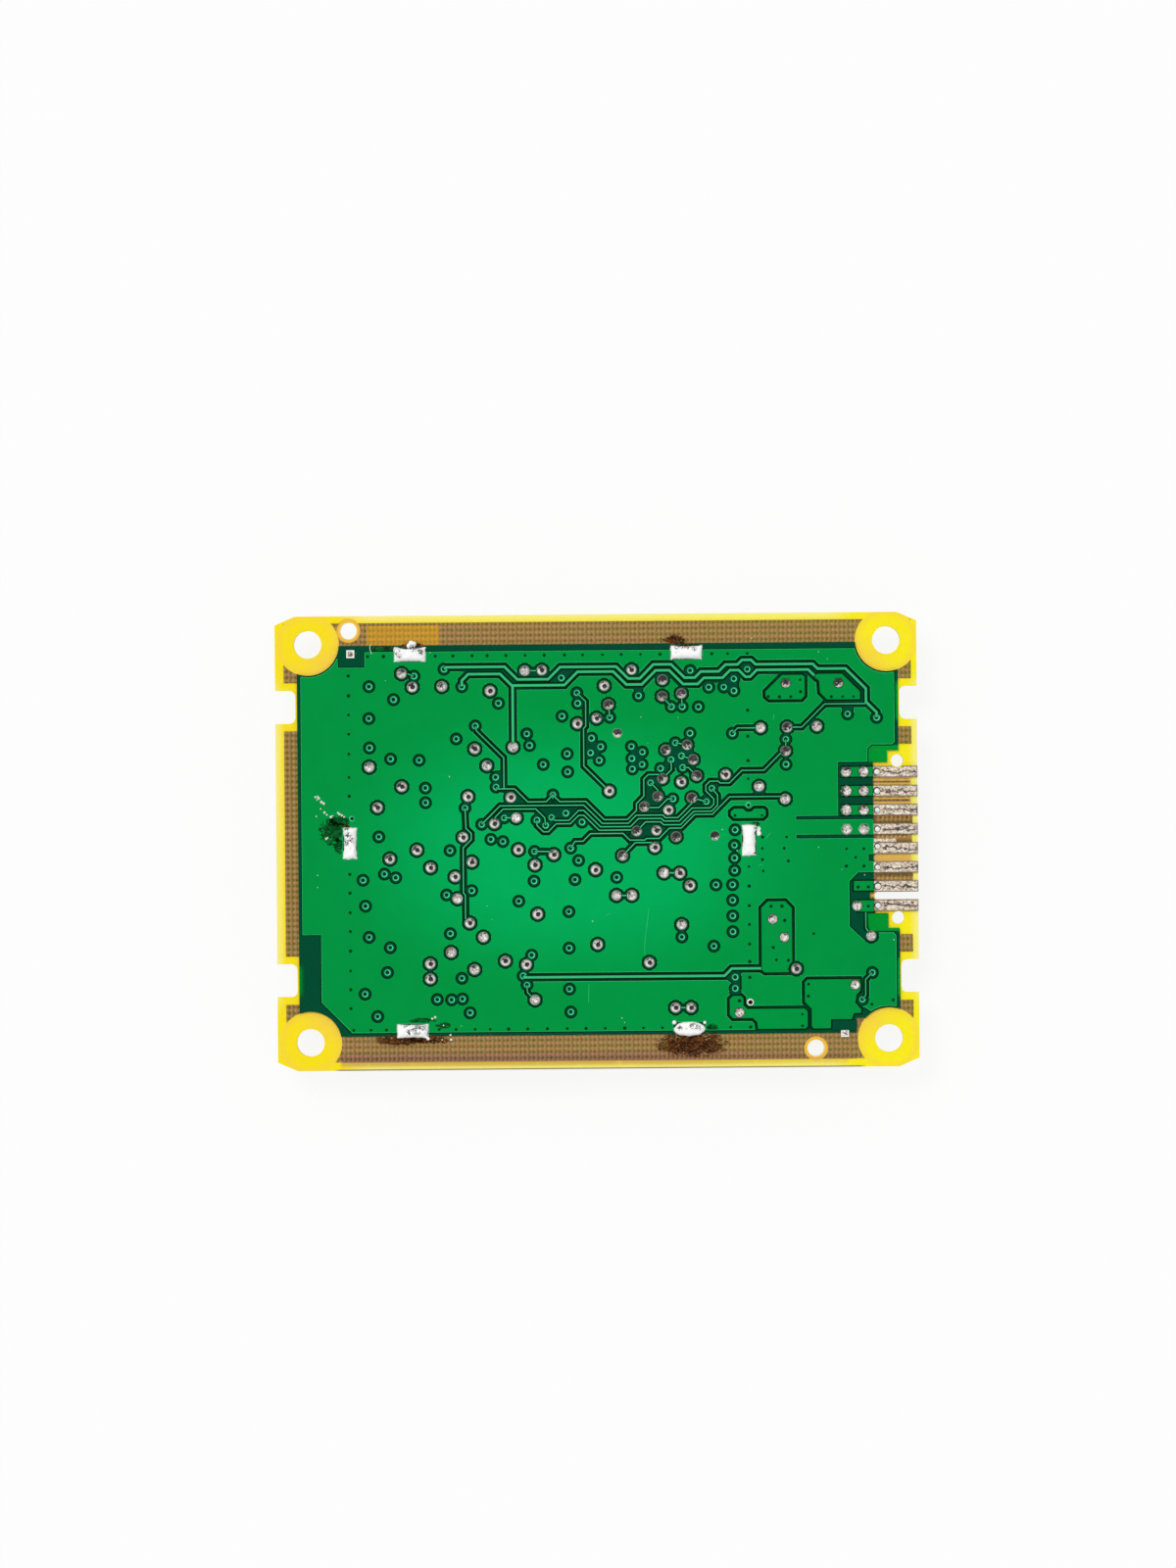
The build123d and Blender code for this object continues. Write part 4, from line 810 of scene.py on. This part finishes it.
def laminate_material():
    graph = Graph("laminate")
    threads = graph.weave(WEAVE) * 0.5 + 0.5
    fibre = graph.noise(2.5, 2, place=graph.stretched(0.3, 0.3, 6.0))
    under_joints = []
    for name in nodes_named("shield_joint"):
        low, high = (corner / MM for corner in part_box(name))
        under_joints.append(graph.box(low.x - SHIFT - 0.4, low.y - 0.7, high.x - SHIFT + 0.4, high.y + 0.7))
    base = graph.mix(most_of(under_joints), resin_colour(graph), colours().plane)
    # Brown lines in the board, and painted shadow lines beside the contacts' edges.
    for y, reach in BARS:
        bar = graph.box(37.4, y - reach, 41.6, y + reach, 0.08) * graph.noise(2.0, 2).ramp(0.35, 0.5)
        base = graph.mix(bar * 0.75, base, tint(140, 92, 20))
    # Painted shade over the laminate beside contact 5, dark at its lower end and lightened at its upper end.
    step = graph.box(*CONTACT_STEP, 0.05)
    painted_shade = step * (graph.y.ramp(-0.4, 0.4) * 1.2 - 0.68) + 1.0
    base = graph.shade(graph.mix(step, base, tint(150, 114, 64)), (0.96 + threads * 0.02 + fibre * 0.04) * painted_shade)
    return graph.finish(base, rough=0.5, specular=0.2, bump=fibre, rise=0.02)


def resin_material():
    graph = Graph("resin")
    threads = graph.weave(WEAVE) * 0.5 + 0.5
    base = graph.shade(resin_colour(graph), 0.97 + threads * 0.04)
    return graph.finish(base, rough=0.35, specular=0.2, Alpha=0.07 + threads * 0.02)


def plane_material():
    graph = Graph("inner copper")
    rows = (graph.y * (math.tau / PLANE_ROWS)).sine()
    columns = (graph.x * (math.tau / PLANE_COLUMNS) + rows * 0.5).sine()
    brick = rows * (graph.x * (math.tau / PLANE_COLUMNS / 2)).sine()
    wander = graph.noise(0.5, 3, place=graph.stretched(0.25, 1.0))
    grain = graph.noise(2.2, 3)
    window = graph.box(*WINDOW, 0.1)
    base = graph.layers(colours().plane, (window, colours().window),
                        (graph.box(*SLOT_END, 0.1), tint(196, 168, 78)))
    threads = (rows * 0.44 + columns * 0.42 + brick * 0.16) * (1 - window * 0.6)
    # Painted shade over each tongue, dark at one end and lightened at the other.
    painted_shade = 1.0
    for low, high, dark, light in TONGUES:
        tongue = graph.box(37.0, low, 41.95, high, 0.05)
        base = graph.mix(tongue, base, tint(140, 107, 65))
        painted_shade = tongue * (graph.y.ramp(dark, light) * 1.25 - 0.68) + painted_shade
    margin = graph.x.size().ramp(40.0, 40.8) * 0.12
    base = graph.shade(base, (0.7 - margin + threads + wander * 0.26 + grain * 0.3) * painted_shade)
    return graph.finish(base, rough=0.7, specular=0.1, bump=rows, rise=0.02)


def mask_material(name):
    """Lacquer, lighter where no plane lies under it."""
    graph = Graph(name)
    lit = most_of([graph.box(*region) for region in LIT_REGIONS])
    mottle = graph.noise(0.5, 4)
    base = graph.mix(lit, colours().mask, colours().mask_lit)
    base = graph.shade(base, 0.86 + graph.weave(WEAVE) * 0.05 + mottle * 0.25)
    return graph.finish(base, rough=0.45, specular=0.02, bump=mottle, rise=0.01)


def copper_material(name, tone, lit):
    """Coated copper, with a painted pool of light over the middle of the board and painted shade towards its ends.
    """
    graph = Graph(name)
    across, along = (graph.x + 4) / HALF_LENGTH, (graph.y + 1) / HALF_WIDTH
    # Painted pool of light over the middle of the board; the side term below paints shade towards the ends.
    painted_light_pool = (across * across + along * along).root().ramp(1.15, 0.3)
    mottle = graph.noise(0.35, 3)
    grain = graph.noise(6.0, 2)
    side = (graph.x + 2.0).size().ramp(14.0, 42.0)
    base = graph.layers(tone, (painted_light_pool, lit), (side * 0.06, colours().mask))
    base = graph.shade(base, 0.92 + mottle * 0.12 + grain * 0.04)
    return graph.finish(base, rough=0.45, specular=0.02, bump=grain, rise=0.008)


def lacquer_material(name, tone):
    """Lacquer of one colour, a little uneven."""
    graph = Graph(name)
    return graph.finish(graph.shade(tone, 0.86 + graph.noise(3.0, 3) * 0.28), rough=0.4, specular=0.02)


def via_material():
    """Ring of thin lacquer round a dark well, lighter on one side as painted light."""
    graph = Graph("via lacquer")
    across, along, reach = graph.spot()
    base = graph.layers(colours().well, (reach.ramp(0.52, 0.66), colours().mint),
                        (reach.ramp(0.8, 1.0) * 0.6, colours().copper))
    # The across and along term paints light on one side of each ring.
    base = graph.shade(base, 0.86 + graph.noise(3.0, 3) * 0.28 + (across - along) * 0.25)
    return graph.finish(base, rough=0.4, specular=0.02)


def solder_material(name, tone="solder", shadow=0.35):
    graph = Graph(name)
    grain = graph.noise(4.0, 4, 0.6)
    base = graph.shade(getattr(colours(), tone), 1.05 - graph.noise(1.3, 3) * shadow)
    return graph.finish(base, rough=0.3 + grain * 0.2, metal=0.4, bump=grain, rise=0.03)


def pad_material(name, hole, dullness):
    """Solder dished round a pin, with a black pin-hole or none, broken up by dull patches and with painted shadow
    on one side of the dish.
    """
    graph = Graph(name)
    across, along, reach = graph.spot()
    ragged = graph.noise(2.4, 4, 0.75)
    # Painted shadow falls on the upper side of each dish; the ragged part is dull, broken solder.
    side = along * 0.52 + across * 0.096
    dull_and_shadow_patch = (side + ragged * 2.4 + graph.noise(0.45, 1) * 0.8).ramp(1.84 - dullness, 1.98 - dullness)
    dull_and_shadow_patch = dull_and_shadow_patch * reach.ramp(1.02, 0.8)
    black = dull_and_shadow_patch * ragged.ramp(0.49 - dullness * 0.1, 0.54 - dullness * 0.1) * 0.95
    # Greyer towards the rim: painted shade on the dish's outer slope.
    base = graph.layers(
        tint(196, 184, 172),
        (ragged.ramp(0.38, 0.56), tint(255, 252, 248)),
        (reach.ramp(0.5, 0.85) * 0.45, tint(128, 122, 112)),
        (dull_and_shadow_patch * 0.9, tint(30, 20, 20) if dullness > 0.4 else colours().dish_shade))
    if hole:
        right, down = across - 0.08, along + 0.08
        pin = (right * right + down * down).root() + (ragged - 0.5) * 0.3
        # Painted shade in the dish round the pin.
        base = graph.mix(pin.ramp(0.62, 0.46) * 0.5, base, colours().dish_shade)
        black = black.most(pin.ramp(0.48, 0.38))
    else:
        flecks = graph.noise(3.4, 3, 0.6).ramp(0.6, 0.64) * reach.ramp(0.8, 0.6)
        swirl = (graph.noise(1.7, 2, 0.6) - 0.5).size().ramp(0.045, 0.02) * reach.ramp(0.85, 0.7)
        black = black.most(flecks * 0.7).most(swirl * ragged.ramp(0.4, 0.48) * 0.85)
    base = graph.layers(base, (black, tint(12, 6, 8)), (reach.ramp(0.8, 0.98) * 0.8, tint(104, 136, 110)))
    return graph.finish(base, rough=0.45, specular=0.3, bump=ragged, rise=0.02)


def fiducial_material():
    """White square with dark marks in it."""
    graph = Graph("fiducial tin")
    ragged = graph.noise(3.0, 3, 0.7)
    half = 0.34
    inner = most_of([graph.box(x - half, y - half, x + half, y + half, 0.1) for x, y in middles("rear_fiducials")])
    base = graph.mix(inner * ragged.ramp(0.42, 0.52), tint(246, 238, 232), tint(84, 62, 58))
    return graph.finish(base, rough=0.4, metal=0.1, bump=ragged, rise=0.03)


def joint_material():
    """White solder with black cracks where the flux broke it, and a painted shadow line along its border."""
    graph = Graph("joint solder")
    across, along, _ = graph.spot()
    ragged = graph.noise(2.4, 4, 0.7)
    veins = (graph.noise(1.9, 3, 0.6) - 0.5).size().ramp(0.05, 0.025)
    cracked = most_of([graph.near(x, y, reach * 0.5, reach * 1.5) for x, y, reach in POCKETS])
    # Painted shadow line along the heap's border.
    rim = across.size().most(along.size()).ramp(0.9, 0.99) * ragged.ramp(0.44, 0.52) * 0.7
    dark = (veins.most(ragged.ramp(0.54, 0.58)) * cracked).most(rim)
    base = graph.layers(tint(255, 255, 254), (ragged.ramp(0.58, 0.72) * 0.3, colours().tin),
                        (dark, tint(26, 18, 14)))
    return graph.finish(base, rough=0.6, bump=ragged, rise=0.008)


def film_material(name, dark, light, fleck, streak):
    """See-through stain, ragged towards its border; the dark films are partly flux and partly painted shade."""
    graph = Graph(name)
    reach = graph.spot()[2]
    place = graph.stretched(1.0 - streak, 1.0 + streak)
    ragged, veins = graph.noise(1.5, 5, 0.7, place), graph.noise(2.6, 4, 0.7, place)
    flecks = graph.noise(5.0, 2).ramp(0.66, 0.7)
    base = graph.layers(dark, (veins.ramp(0.46, 0.62), light), (flecks * 0.8, fleck))
    cover = (1 - reach + (ragged - 0.5) * 2.4 + (veins - 0.5) * 1.6).ramp(0.1, 0.3)
    return graph.finish(base, rough=0.6, specular=0.05, Alpha=cover * 0.92)


def contact_material():
    """Dull tin, wiped and scored along the middle of each contact, dark at its border."""
    graph = Graph("contact tin")
    offset = (((graph.y - ROW_MIDDLE) / PITCH).fraction() - 0.5) * PITCH
    grain = graph.noise(3.2, 5, 0.8)
    wander = graph.noise(1.1, 4, 0.75, graph.stretched(0.8, 1.0))
    wiped = graph.x.ramp(37.5, 38.0) * graph.x.ramp(42.7, 42.4)
    line = (offset + (wander - 0.5) * 2.2).size().ramp(0.16, 0.07) * wiped * grain.ramp(0.38, 0.44)
    flecks = graph.noise(3.6, 3, 0.6, graph.stretched(0.7, 1.2)).ramp(0.56, 0.6)
    border = offset.size().ramp(0.58, 0.7) * offset.size().ramp(0.84, 0.8)
    rim = border.most(graph.x.ramp(42.2, 42.6)) * grain.ramp(0.3, 0.5) * 0.8
    base = graph.layers(
        tint(204, 182, 158),
        (grain.ramp(0.44, 0.62), tint(252, 242, 226)),
        (grain.ramp(0.46, 0.38) * 0.7, tint(112, 92, 76)),
        (line.most(flecks * 0.85).most(rim), tint(20, 14, 14)))
    return graph.finish(base, rough=0.5, metal=0.1, bump=grain, rise=0.03)


def sheet_material():
    graph = Graph("tinned sheet")
    streak = graph.noise(0.8, 4, 0.6, graph.stretched(0.08, 1.4, 1.4))
    flecks = graph.cells(1.1).ramp(0.1, 0.02)
    base = graph.shade(graph.mix(flecks * 0.2, colours().sheet, tint(150, 148, 144)), 0.92 + streak * 0.14)
    return graph.finish(base, rough=0.28 + streak * 0.2, metal=0.85, bump=streak, rise=0.02)


def moulding_material(name, tone, rough=0.55, specular=0.35):
    graph = Graph(name)
    grain = graph.noise(9.0, 3, 0.6)
    base = graph.shade(tone, 0.85 + grain * 0.3)
    return graph.finish(base, rough=rough, specular=specular, bump=grain, rise=0.03)


# ---- operators -----------------------------------------------------------
class BuildOperator:
    """What all the builders share."""

    bl_options = {"REGISTER", "UNDO"}

    def execute(self, context):
        self.build()
        return {"FINISHED"}


class MODULE_OT_board(BuildOperator, bpy.types.Operator):
    """Build the laminate, the inner plane and the clear resin over it"""

    bl_idname = "module.board"
    bl_label = "Board"

    def build(self):
        holes = ringed(HOLES, HOLE_RADIUS) + ringed(TOOLING, TOOLING_RADIUS) + ringed(LOCATING, LOCATING_RADIUS)
        drilled("laminate", "board_core", holes, laminate_material(), "laminate")
        resin = drilled("clear_resin", "rear_prepreg", holes, resin_material(), "prepreg")
        middle = (level("rear_prepreg") + level("rear_prepreg", top=False)) / 2
        for vert in resin.data.vertices:        # clear of the plane's upper face
            if vert.co.z < middle:
                vert.co.z += 0.01 * MM
        rings = ringed(HOLES, HOLE_RING + PLANE_BACK) + ringed(TOOLING, TOOLING_RING)
        drilled("inner_plane", "inner_ground_plane", rings, plane_material(), "inner_copper")


class MODULE_OT_mask(BuildOperator, bpy.types.Operator):
    """Build the green lacquer on both sides of the board"""

    bl_idname = "module.mask"
    bl_label = "Mask"

    def build(self):
        for side, slot in (("rear", "solder_mask"), ("front", "solder_mask_front")):
            drilled(f"{side}_mask", f"{side}_solder_mask", ringed(HOLES, HOLE_RING), mask_material(f"{side} mask"),
                    slot)


class MODULE_OT_copper(BuildOperator, bpy.types.Operator):
    """Build the lacquered copper of the rear side with the lines along its edges"""

    bl_idname = "module.copper"
    bl_label = "Copper"

    def build(self):
        paint, pads, top = colours(), middles("rear_test_pads"), level("rear_ground_pour")
        isolated = ringed([pad for pad in pads if not close(pad, JOINED_PADS)], sizes().pad_ring / MM)
        isolated += ringed(VIAS, sizes().via_ring / MM)
        rings, own = ringed(HOLES, HOLE_RING + POUR_BACK), ringed(pads, TRACK_END)
        near = [hole for hole in isolated if hole[0] > ISLANDS_FROM]
        coated = copper_material("coated copper", paint.copper, paint.copper_lit)
        fine = copper_material("coated tracks", paint.track, paint.track_lit)
        solids = [drilled(name, f"rear_{name}", holes, material, slot, RING_SIDES)
                  for name, holes, material, slot in (
                      ("ground_pour", rings + isolated, coated, "coated_copper"),
                      ("power_islands", near, coated, "coated_copper_islands"),
                      ("signal_tracks", own, fine, "coated_tracks"))]
        # The pale lines are painted highlights along the copper's edges.
        pale = lacquer_material("copper edge", paint.edge)
        # Painted shade in the channels beside the copper, over lacquer that is thicker there.
        shade = lacquer_material("channel shade", paint.channel)
        floor = level("rear_solder_mask") + 0.004 * MM
        lines = ((sizes().bead, pale), (sizes().dark_bead, shade), (sizes().dark_bead, shade))
        for solid, holes, (radius, material) in zip(solids, (isolated, near, own), lines):
            wide = grown(f"{solid.name}_channels", outline(solid.data, []), "Beaded", "solder_mask",
                         Radius=sizes().channel_bead, Material=shade)
            for vert in wide.data.vertices:     # flattened onto the floor of the channel
                vert.co.z = floor + (vert.co.z - top) * 0.05
            grown(f"{solid.name}_edges", outline(solid.data, holes), "Beaded", "coated_tracks", Radius=radius,
                  Material=material)
        ribbons("covered_corner", [[(31.0, -24.7), (34.2, -24.7)]], 1.3, top + 0.06 * MM,
                lacquer_material("covered corner", paint.mask))


class MODULE_OT_vias(BuildOperator, bpy.types.Operator):
    """Build the lacquered vias and the stitching vias"""

    bl_idname = "module.vias"
    bl_label = "Vias"

    def build(self):
        base, top = level("rear_solder_mask"), level("rear_ground_pour")
        rim, radius = sizes().via_radius / MM, sizes().stitch_radius / MM
        ring = [(0, 0.02), (rim * 0.5, 0.02), (rim * 0.6, 0.05), (rim * 0.75, 0.075), (rim * 0.92, 0.06),
                (rim, 0.0)]
        lacquer, sunk = via_material(), lacquer_material("via well", colours().well)
        strewn("via_rings", VIAS, ring, base, lacquer, "coated_tracks", 3, (0.95, 1.05), 24, turn=0.3)
        places = [(x, y) for y, row in STITCH_ROWS.items() for x in row]
        places += [(x, y) for x, column in STITCH_COLUMNS.items() for y in column] + OTHER_STITCHES
        strewn("stitching_vias", places, [(0, 0.0), (radius, 0.0)], top + 0.006 * MM, sunk, "coated_copper", 5,
               (0.8, 1.15), 14)
        raised = [(0, 0.02), (0.14, 0.03), (0.22, 0.12), (0.32, 0.1), (0.4, 0.0)]
        strewn("raised_vias", RAISED_VIAS, raised, top, lacquer, "coated_tracks", 7, (0.9, 1.05), 24)


class MODULE_OT_pads(BuildOperator, bpy.types.Operator):
    """Build the soldered pads and their pin-holes"""

    bl_idname = "module.pads"
    bl_label = "Pads"

    def build(self):
        base, rim = level("rear_test_pads", top=False), sizes().pad_radius / MM
        dish = [(0, 0.03), (rim * 0.22, 0.04), (rim * 0.36, 0.1), (rim * 0.64, 0.14), (rim * 0.86, 0.12),
                (rim, 0.0)]
        pads = middles("rear_test_pads")
        for name, places, hole, dullness in (("dull_pads", DULL_PADS, False, 0.48),
                                             ("filled_pads", FILLED_PADS, False, 0.0),
                                             ("test_pads", list(pads), True, 0.0)):
            own = [pad for pad in pads if close(pad, places)]
            pads = [pad for pad in pads if pad not in own]
            strewn(name, own, dish, base, pad_material(name.replace("_", " "), hole, dullness), "solder_pads", 11,
                   (0.97, 1.03), 28, ["rear_test_pads"] if hole else (), turn=0.8)
        dish[-1] = (rim * 1.08, 0.0)
        strewn("contact_pads", middles("rear_contact_pads"), dish, base,
               pad_material("contact pad solder", False, 0.08), "solder_pads", 17, (1.0, 1.06), 28,
               ["rear_contact_pads"], turn=3.0)
        bore = moulding_material("bore", tint(14, 10, 10), 0.8, 0.05)
        strewn("open_via", [OPEN_VIA], [(0, 0.1), (0.3, 0.12), (0.42, 0.12), (0.52, 0.0)], base,
               solder_material("via solder"), "solder_pads", 19, sides=20)
        strewn("open_via_bore", [OPEN_VIA], [(0, 0.0), (0.3, 0.0)], base + 0.125 * MM, bore, "solder_pads", 19)
        coat(fiducial_material(), "rear_fiducials")


class MODULE_OT_contacts(BuildOperator, bpy.types.Operator):
    """Finish the edge contacts"""

    bl_idname = "module.contacts"
    bl_label = "Contacts"

    def build(self):
        names, top = nodes_named("contact_"), level("contact_2")
        coat(contact_material(), *names)
        rims = []
        for name in names:
            low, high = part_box(name)
            rims.append((CONTACT_HOLES, (low.y + high.y) / 2 / MM))
        dark = moulding_material("contact hole", tint(58, 44, 38), 0.6)
        strewn("contact_hole_rims", rims, [(0, 0.0), (0.5, 0.0)], top + 0.003 * MM, dark, "contact_tin", 21,
               (0.85, 1.1))
        strewn("contact_holes", [(x + 0.05, y - 0.04) for x, y in rims], [(0, 0.02), (0.3, 0.015), (0.37, 0.0)],
               top + 0.004 * MM, solder_material("hole solder"), "contact_tin", 21, (0.85, 1.05))


class MODULE_OT_shield(BuildOperator, bpy.types.Operator):
    """Finish the shield can, the crystal's can and the solder joints"""

    bl_idname = "module.shield"
    bl_label = "Shield"

    def build(self):
        coat(sheet_material(), "shield_frame", "shield_lid", "clock_crystal")
        solder = joint_material()
        for name in nodes_named("shield_joint"):
            heap = linked(name.replace("shield_joint", "solder_heap"), solder_heap(name, solder))
            keep(heap, [name])
        strewn("solder_drips", DRIPS, [(0, 0.5), (0.2, 0.46), (0.34, 0.28), (0.4, 0.0)], level("rear_solder_mask"),
               solder, "joint_solder", 29, (0.55, 1.1), 12)


class MODULE_OT_parts(BuildOperator, bpy.types.Operator):
    """Finish the parts of the component side"""

    bl_idname = "module.parts"
    bl_label = "Parts"

    def build(self):
        coat(moulding_material("moulding", colours().moulding), "microcontroller_body", "led_driver_bodies",
             "switching_transistors", "rectifier_diodes", "chip_resistors")
        coat(moulding_material("chip ceramic", tint(150, 112, 80), 0.6), "chip_capacitors")
        coat(moulding_material("tantalum resin", tint(206, 140, 40)), "tantalum_capacitors")
        coat(moulding_material("ferrite", tint(58, 58, 60), 0.7), "choke_cups", "choke_drums")
        coat(solder_material("lead tin", "sheet", 0.2), "microcontroller_leads", "led_driver_leads",
             "transistor_tabs", "diode_terminals", "tantalum_terminals")


class MODULE_OT_wear(BuildOperator, bpy.types.Operator):
    """Add the burnt flux, the solder splashes, the dust, the scratches and a hair"""

    bl_idname = "module.wear"
    bl_label = "Wear"

    def build(self):
        paint, top, chance = colours(), level("rear_ground_pour"), random.Random(8)
        crumbs, smears = [], []
        for x, y, across, along, count in BURNS:
            for _ in range(count):
                reach, angle = chance.random() ** 0.7, chance.uniform(0, math.tau)
                place = (x + across * reach * math.cos(angle), y + along * reach * math.sin(angle))
                (crumbs if chance.random() < 0.7 else smears).append(place)
        black = moulding_material("burnt flux", paint.burn, 0.6, 0.05)
        brown = moulding_material("flux stain", paint.stain, 0.6, 0.05)
        strewn("burnt_crumbs", crumbs, [(0, 0.16), (0.09, 0.12), (0.16, 0.0)], top - 0.06 * MM, black,
               "joint_solder", 31, (0.25, 1.0), 6)
        strewn("flux_smears", smears, [(0, 0.06), (0.16, 0.05), (0.28, 0.0)], top - 0.05 * MM, brown,
               "joint_solder", 37, (0.3, 0.9), 7)
        films("burnt_films", BURNT_FILMS, top + 0.012 * MM,
              film_material("burnt film", paint.burn, paint.stain, tint(224, 190, 140), 0.3))
        # Dark green films: partly flux, partly painted shade beside the joints.
        films("dark_films", DARK_FILMS, top + 0.015 * MM,
              film_material("dark film", tint(0, 56, 18), tint(0, 108, 42), tint(30, 150, 80), 0.2))
        strewn("splashes", SPLASHES, [(0, 0.12), (0.1, 0.1), (0.17, 0.0)], top, solder_material("splashed solder"),
               "joint_solder", 41, (0.5, 1.2), 9)
        dust = moulding_material("dust", tint(196, 240, 212), 0.8, 0.1)
        strewn("dust", SPECKS, [(0, 0.04), (0.055, 0.0)], top, dust, "coated_copper", 43, (0.6, 1.5), 7)
        pale = lacquer_material("scratched lacquer", paint.edge)
        ribbons("scratches", SCRATCHES, 0.05, top + 0.01 * MM, pale)
        ribbons("hair", [HAIR], 0.08, top + 0.12 * MM, dust)


class MODULE_OT_stage(BuildOperator, bpy.types.Operator):
    """Build the camera, the lamp, the white ground and the white surroundings"""

    bl_idname = "module.stage"
    bl_label = "Stage"

    def build(self):
        scene = bpy.context.scene
        stage = scene.module_stage
        view = bpy.data.cameras.new("camera")
        view.lens, view.clip_start, view.clip_end = stage.lens, 0.01, 20
        camera = linked("camera", view)
        away = stage.field * stage.lens / view.sensor_width
        camera.location = (stage.aside + SHIFT * MM, stage.across, level("rear_ground_pour") + away)
        camera.rotation_euler = (0, 0, stage.turn)
        scene.camera = camera
        light = bpy.data.lights.new("lamp", "SUN")
        light.energy, light.angle = stage.sun, math.radians(25)
        linked("lamp", light).rotation_euler = (math.radians(-24), math.radians(-22), 0)
        self.ground()
        self.surroundings(stage.sky)
        scene.view_settings.view_transform = "Standard"

    def ground(self):
        """A wide floor that shows white and keeps the module's shadow."""
        side, low, shown = 3.0, -0.2 * MM, 0.88
        graph = Graph("ground")
        white = graph.node("ShaderNodeEmission")
        cloth = graph.node("ShaderNodeBsdfDiffuse", (0.9, 0.9, 0.9, 1))
        seen = self.seen(graph, "Is Camera Ray", "Is Transmission Ray", "Is Glossy Ray") * shown
        both = graph.node("ShaderNodeMixShader", seen, cloth.outputs[0], white.outputs[0])
        graph.node("ShaderNodeOutputMaterial", both.outputs[0])
        square = [(-side, -side, low), (side, -side, low), (side, side, low), (-side, side, low)]
        linked("ground", plain_mesh("ground", square, [(0, 1, 2, 3)], graph.material))

    def surroundings(self, strength):
        """Even light from all round, which shows as plain white."""
        world = bpy.data.worlds.new("surroundings")
        world.use_nodes = True
        nodes = Nodes(world.node_tree)
        even = nodes.node("ShaderNodeBackground", (1, 1, 1), strength)
        plain = nodes.node("ShaderNodeBackground", (1, 1, 1))
        seen = self.seen(nodes, "Is Camera Ray", "Is Glossy Ray")
        both = nodes.node("ShaderNodeMixShader", seen, even.outputs[0], plain.outputs[0])
        nodes.node("ShaderNodeOutputWorld", both.outputs[0])
        bpy.context.scene.world = world

    def seen(self, nodes, *kinds):
        """1 for rays of these kinds, and 0 for the others."""
        rays = nodes.node("ShaderNodeLightPath").outputs
        return most_of([Wire(nodes, rays[kind]) for kind in kinds])


OPERATORS = (MODULE_OT_board, MODULE_OT_mask, MODULE_OT_copper, MODULE_OT_vias, MODULE_OT_pads,
             MODULE_OT_contacts, MODULE_OT_shield, MODULE_OT_parts, MODULE_OT_wear, MODULE_OT_stage)


class MODULE_PT_panel(bpy.types.Panel):
    """Lists the builders and their settings"""

    bl_idname = "MODULE_PT_panel"
    bl_label = "LED control module"
    bl_space_type = "VIEW_3D"
    bl_region_type = "UI"
    bl_category = "Module"

    def draw(self, context):
        for operator in OPERATORS:
            self.layout.operator(operator.bl_idname)
        for group in (context.scene.module_sizes, context.scene.module_colours, context.scene.module_stage):
            for name in group.__annotations__:
                self.layout.prop(group, name)


CLASSES = (ModuleSizes, ModuleColours, ModuleStage, *OPERATORS, MODULE_PT_panel)


def register():
    for item in CLASSES:
        bpy.utils.register_class(item)
    bpy.types.Scene.module_sizes = bpy.props.PointerProperty(type=ModuleSizes)
    bpy.types.Scene.module_colours = bpy.props.PointerProperty(type=ModuleColours)
    bpy.types.Scene.module_stage = bpy.props.PointerProperty(type=ModuleStage)


def unregister():
    del bpy.types.Scene.module_stage
    del bpy.types.Scene.module_colours
    del bpy.types.Scene.module_sizes
    for item in reversed(CLASSES):
        bpy.utils.unregister_class(item)


def main():
    register()
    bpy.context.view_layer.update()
    for operator in OPERATORS:
        getattr(bpy.ops.module, operator.bl_idname.split(".")[1])()


if __name__ == "__main__":
    main()
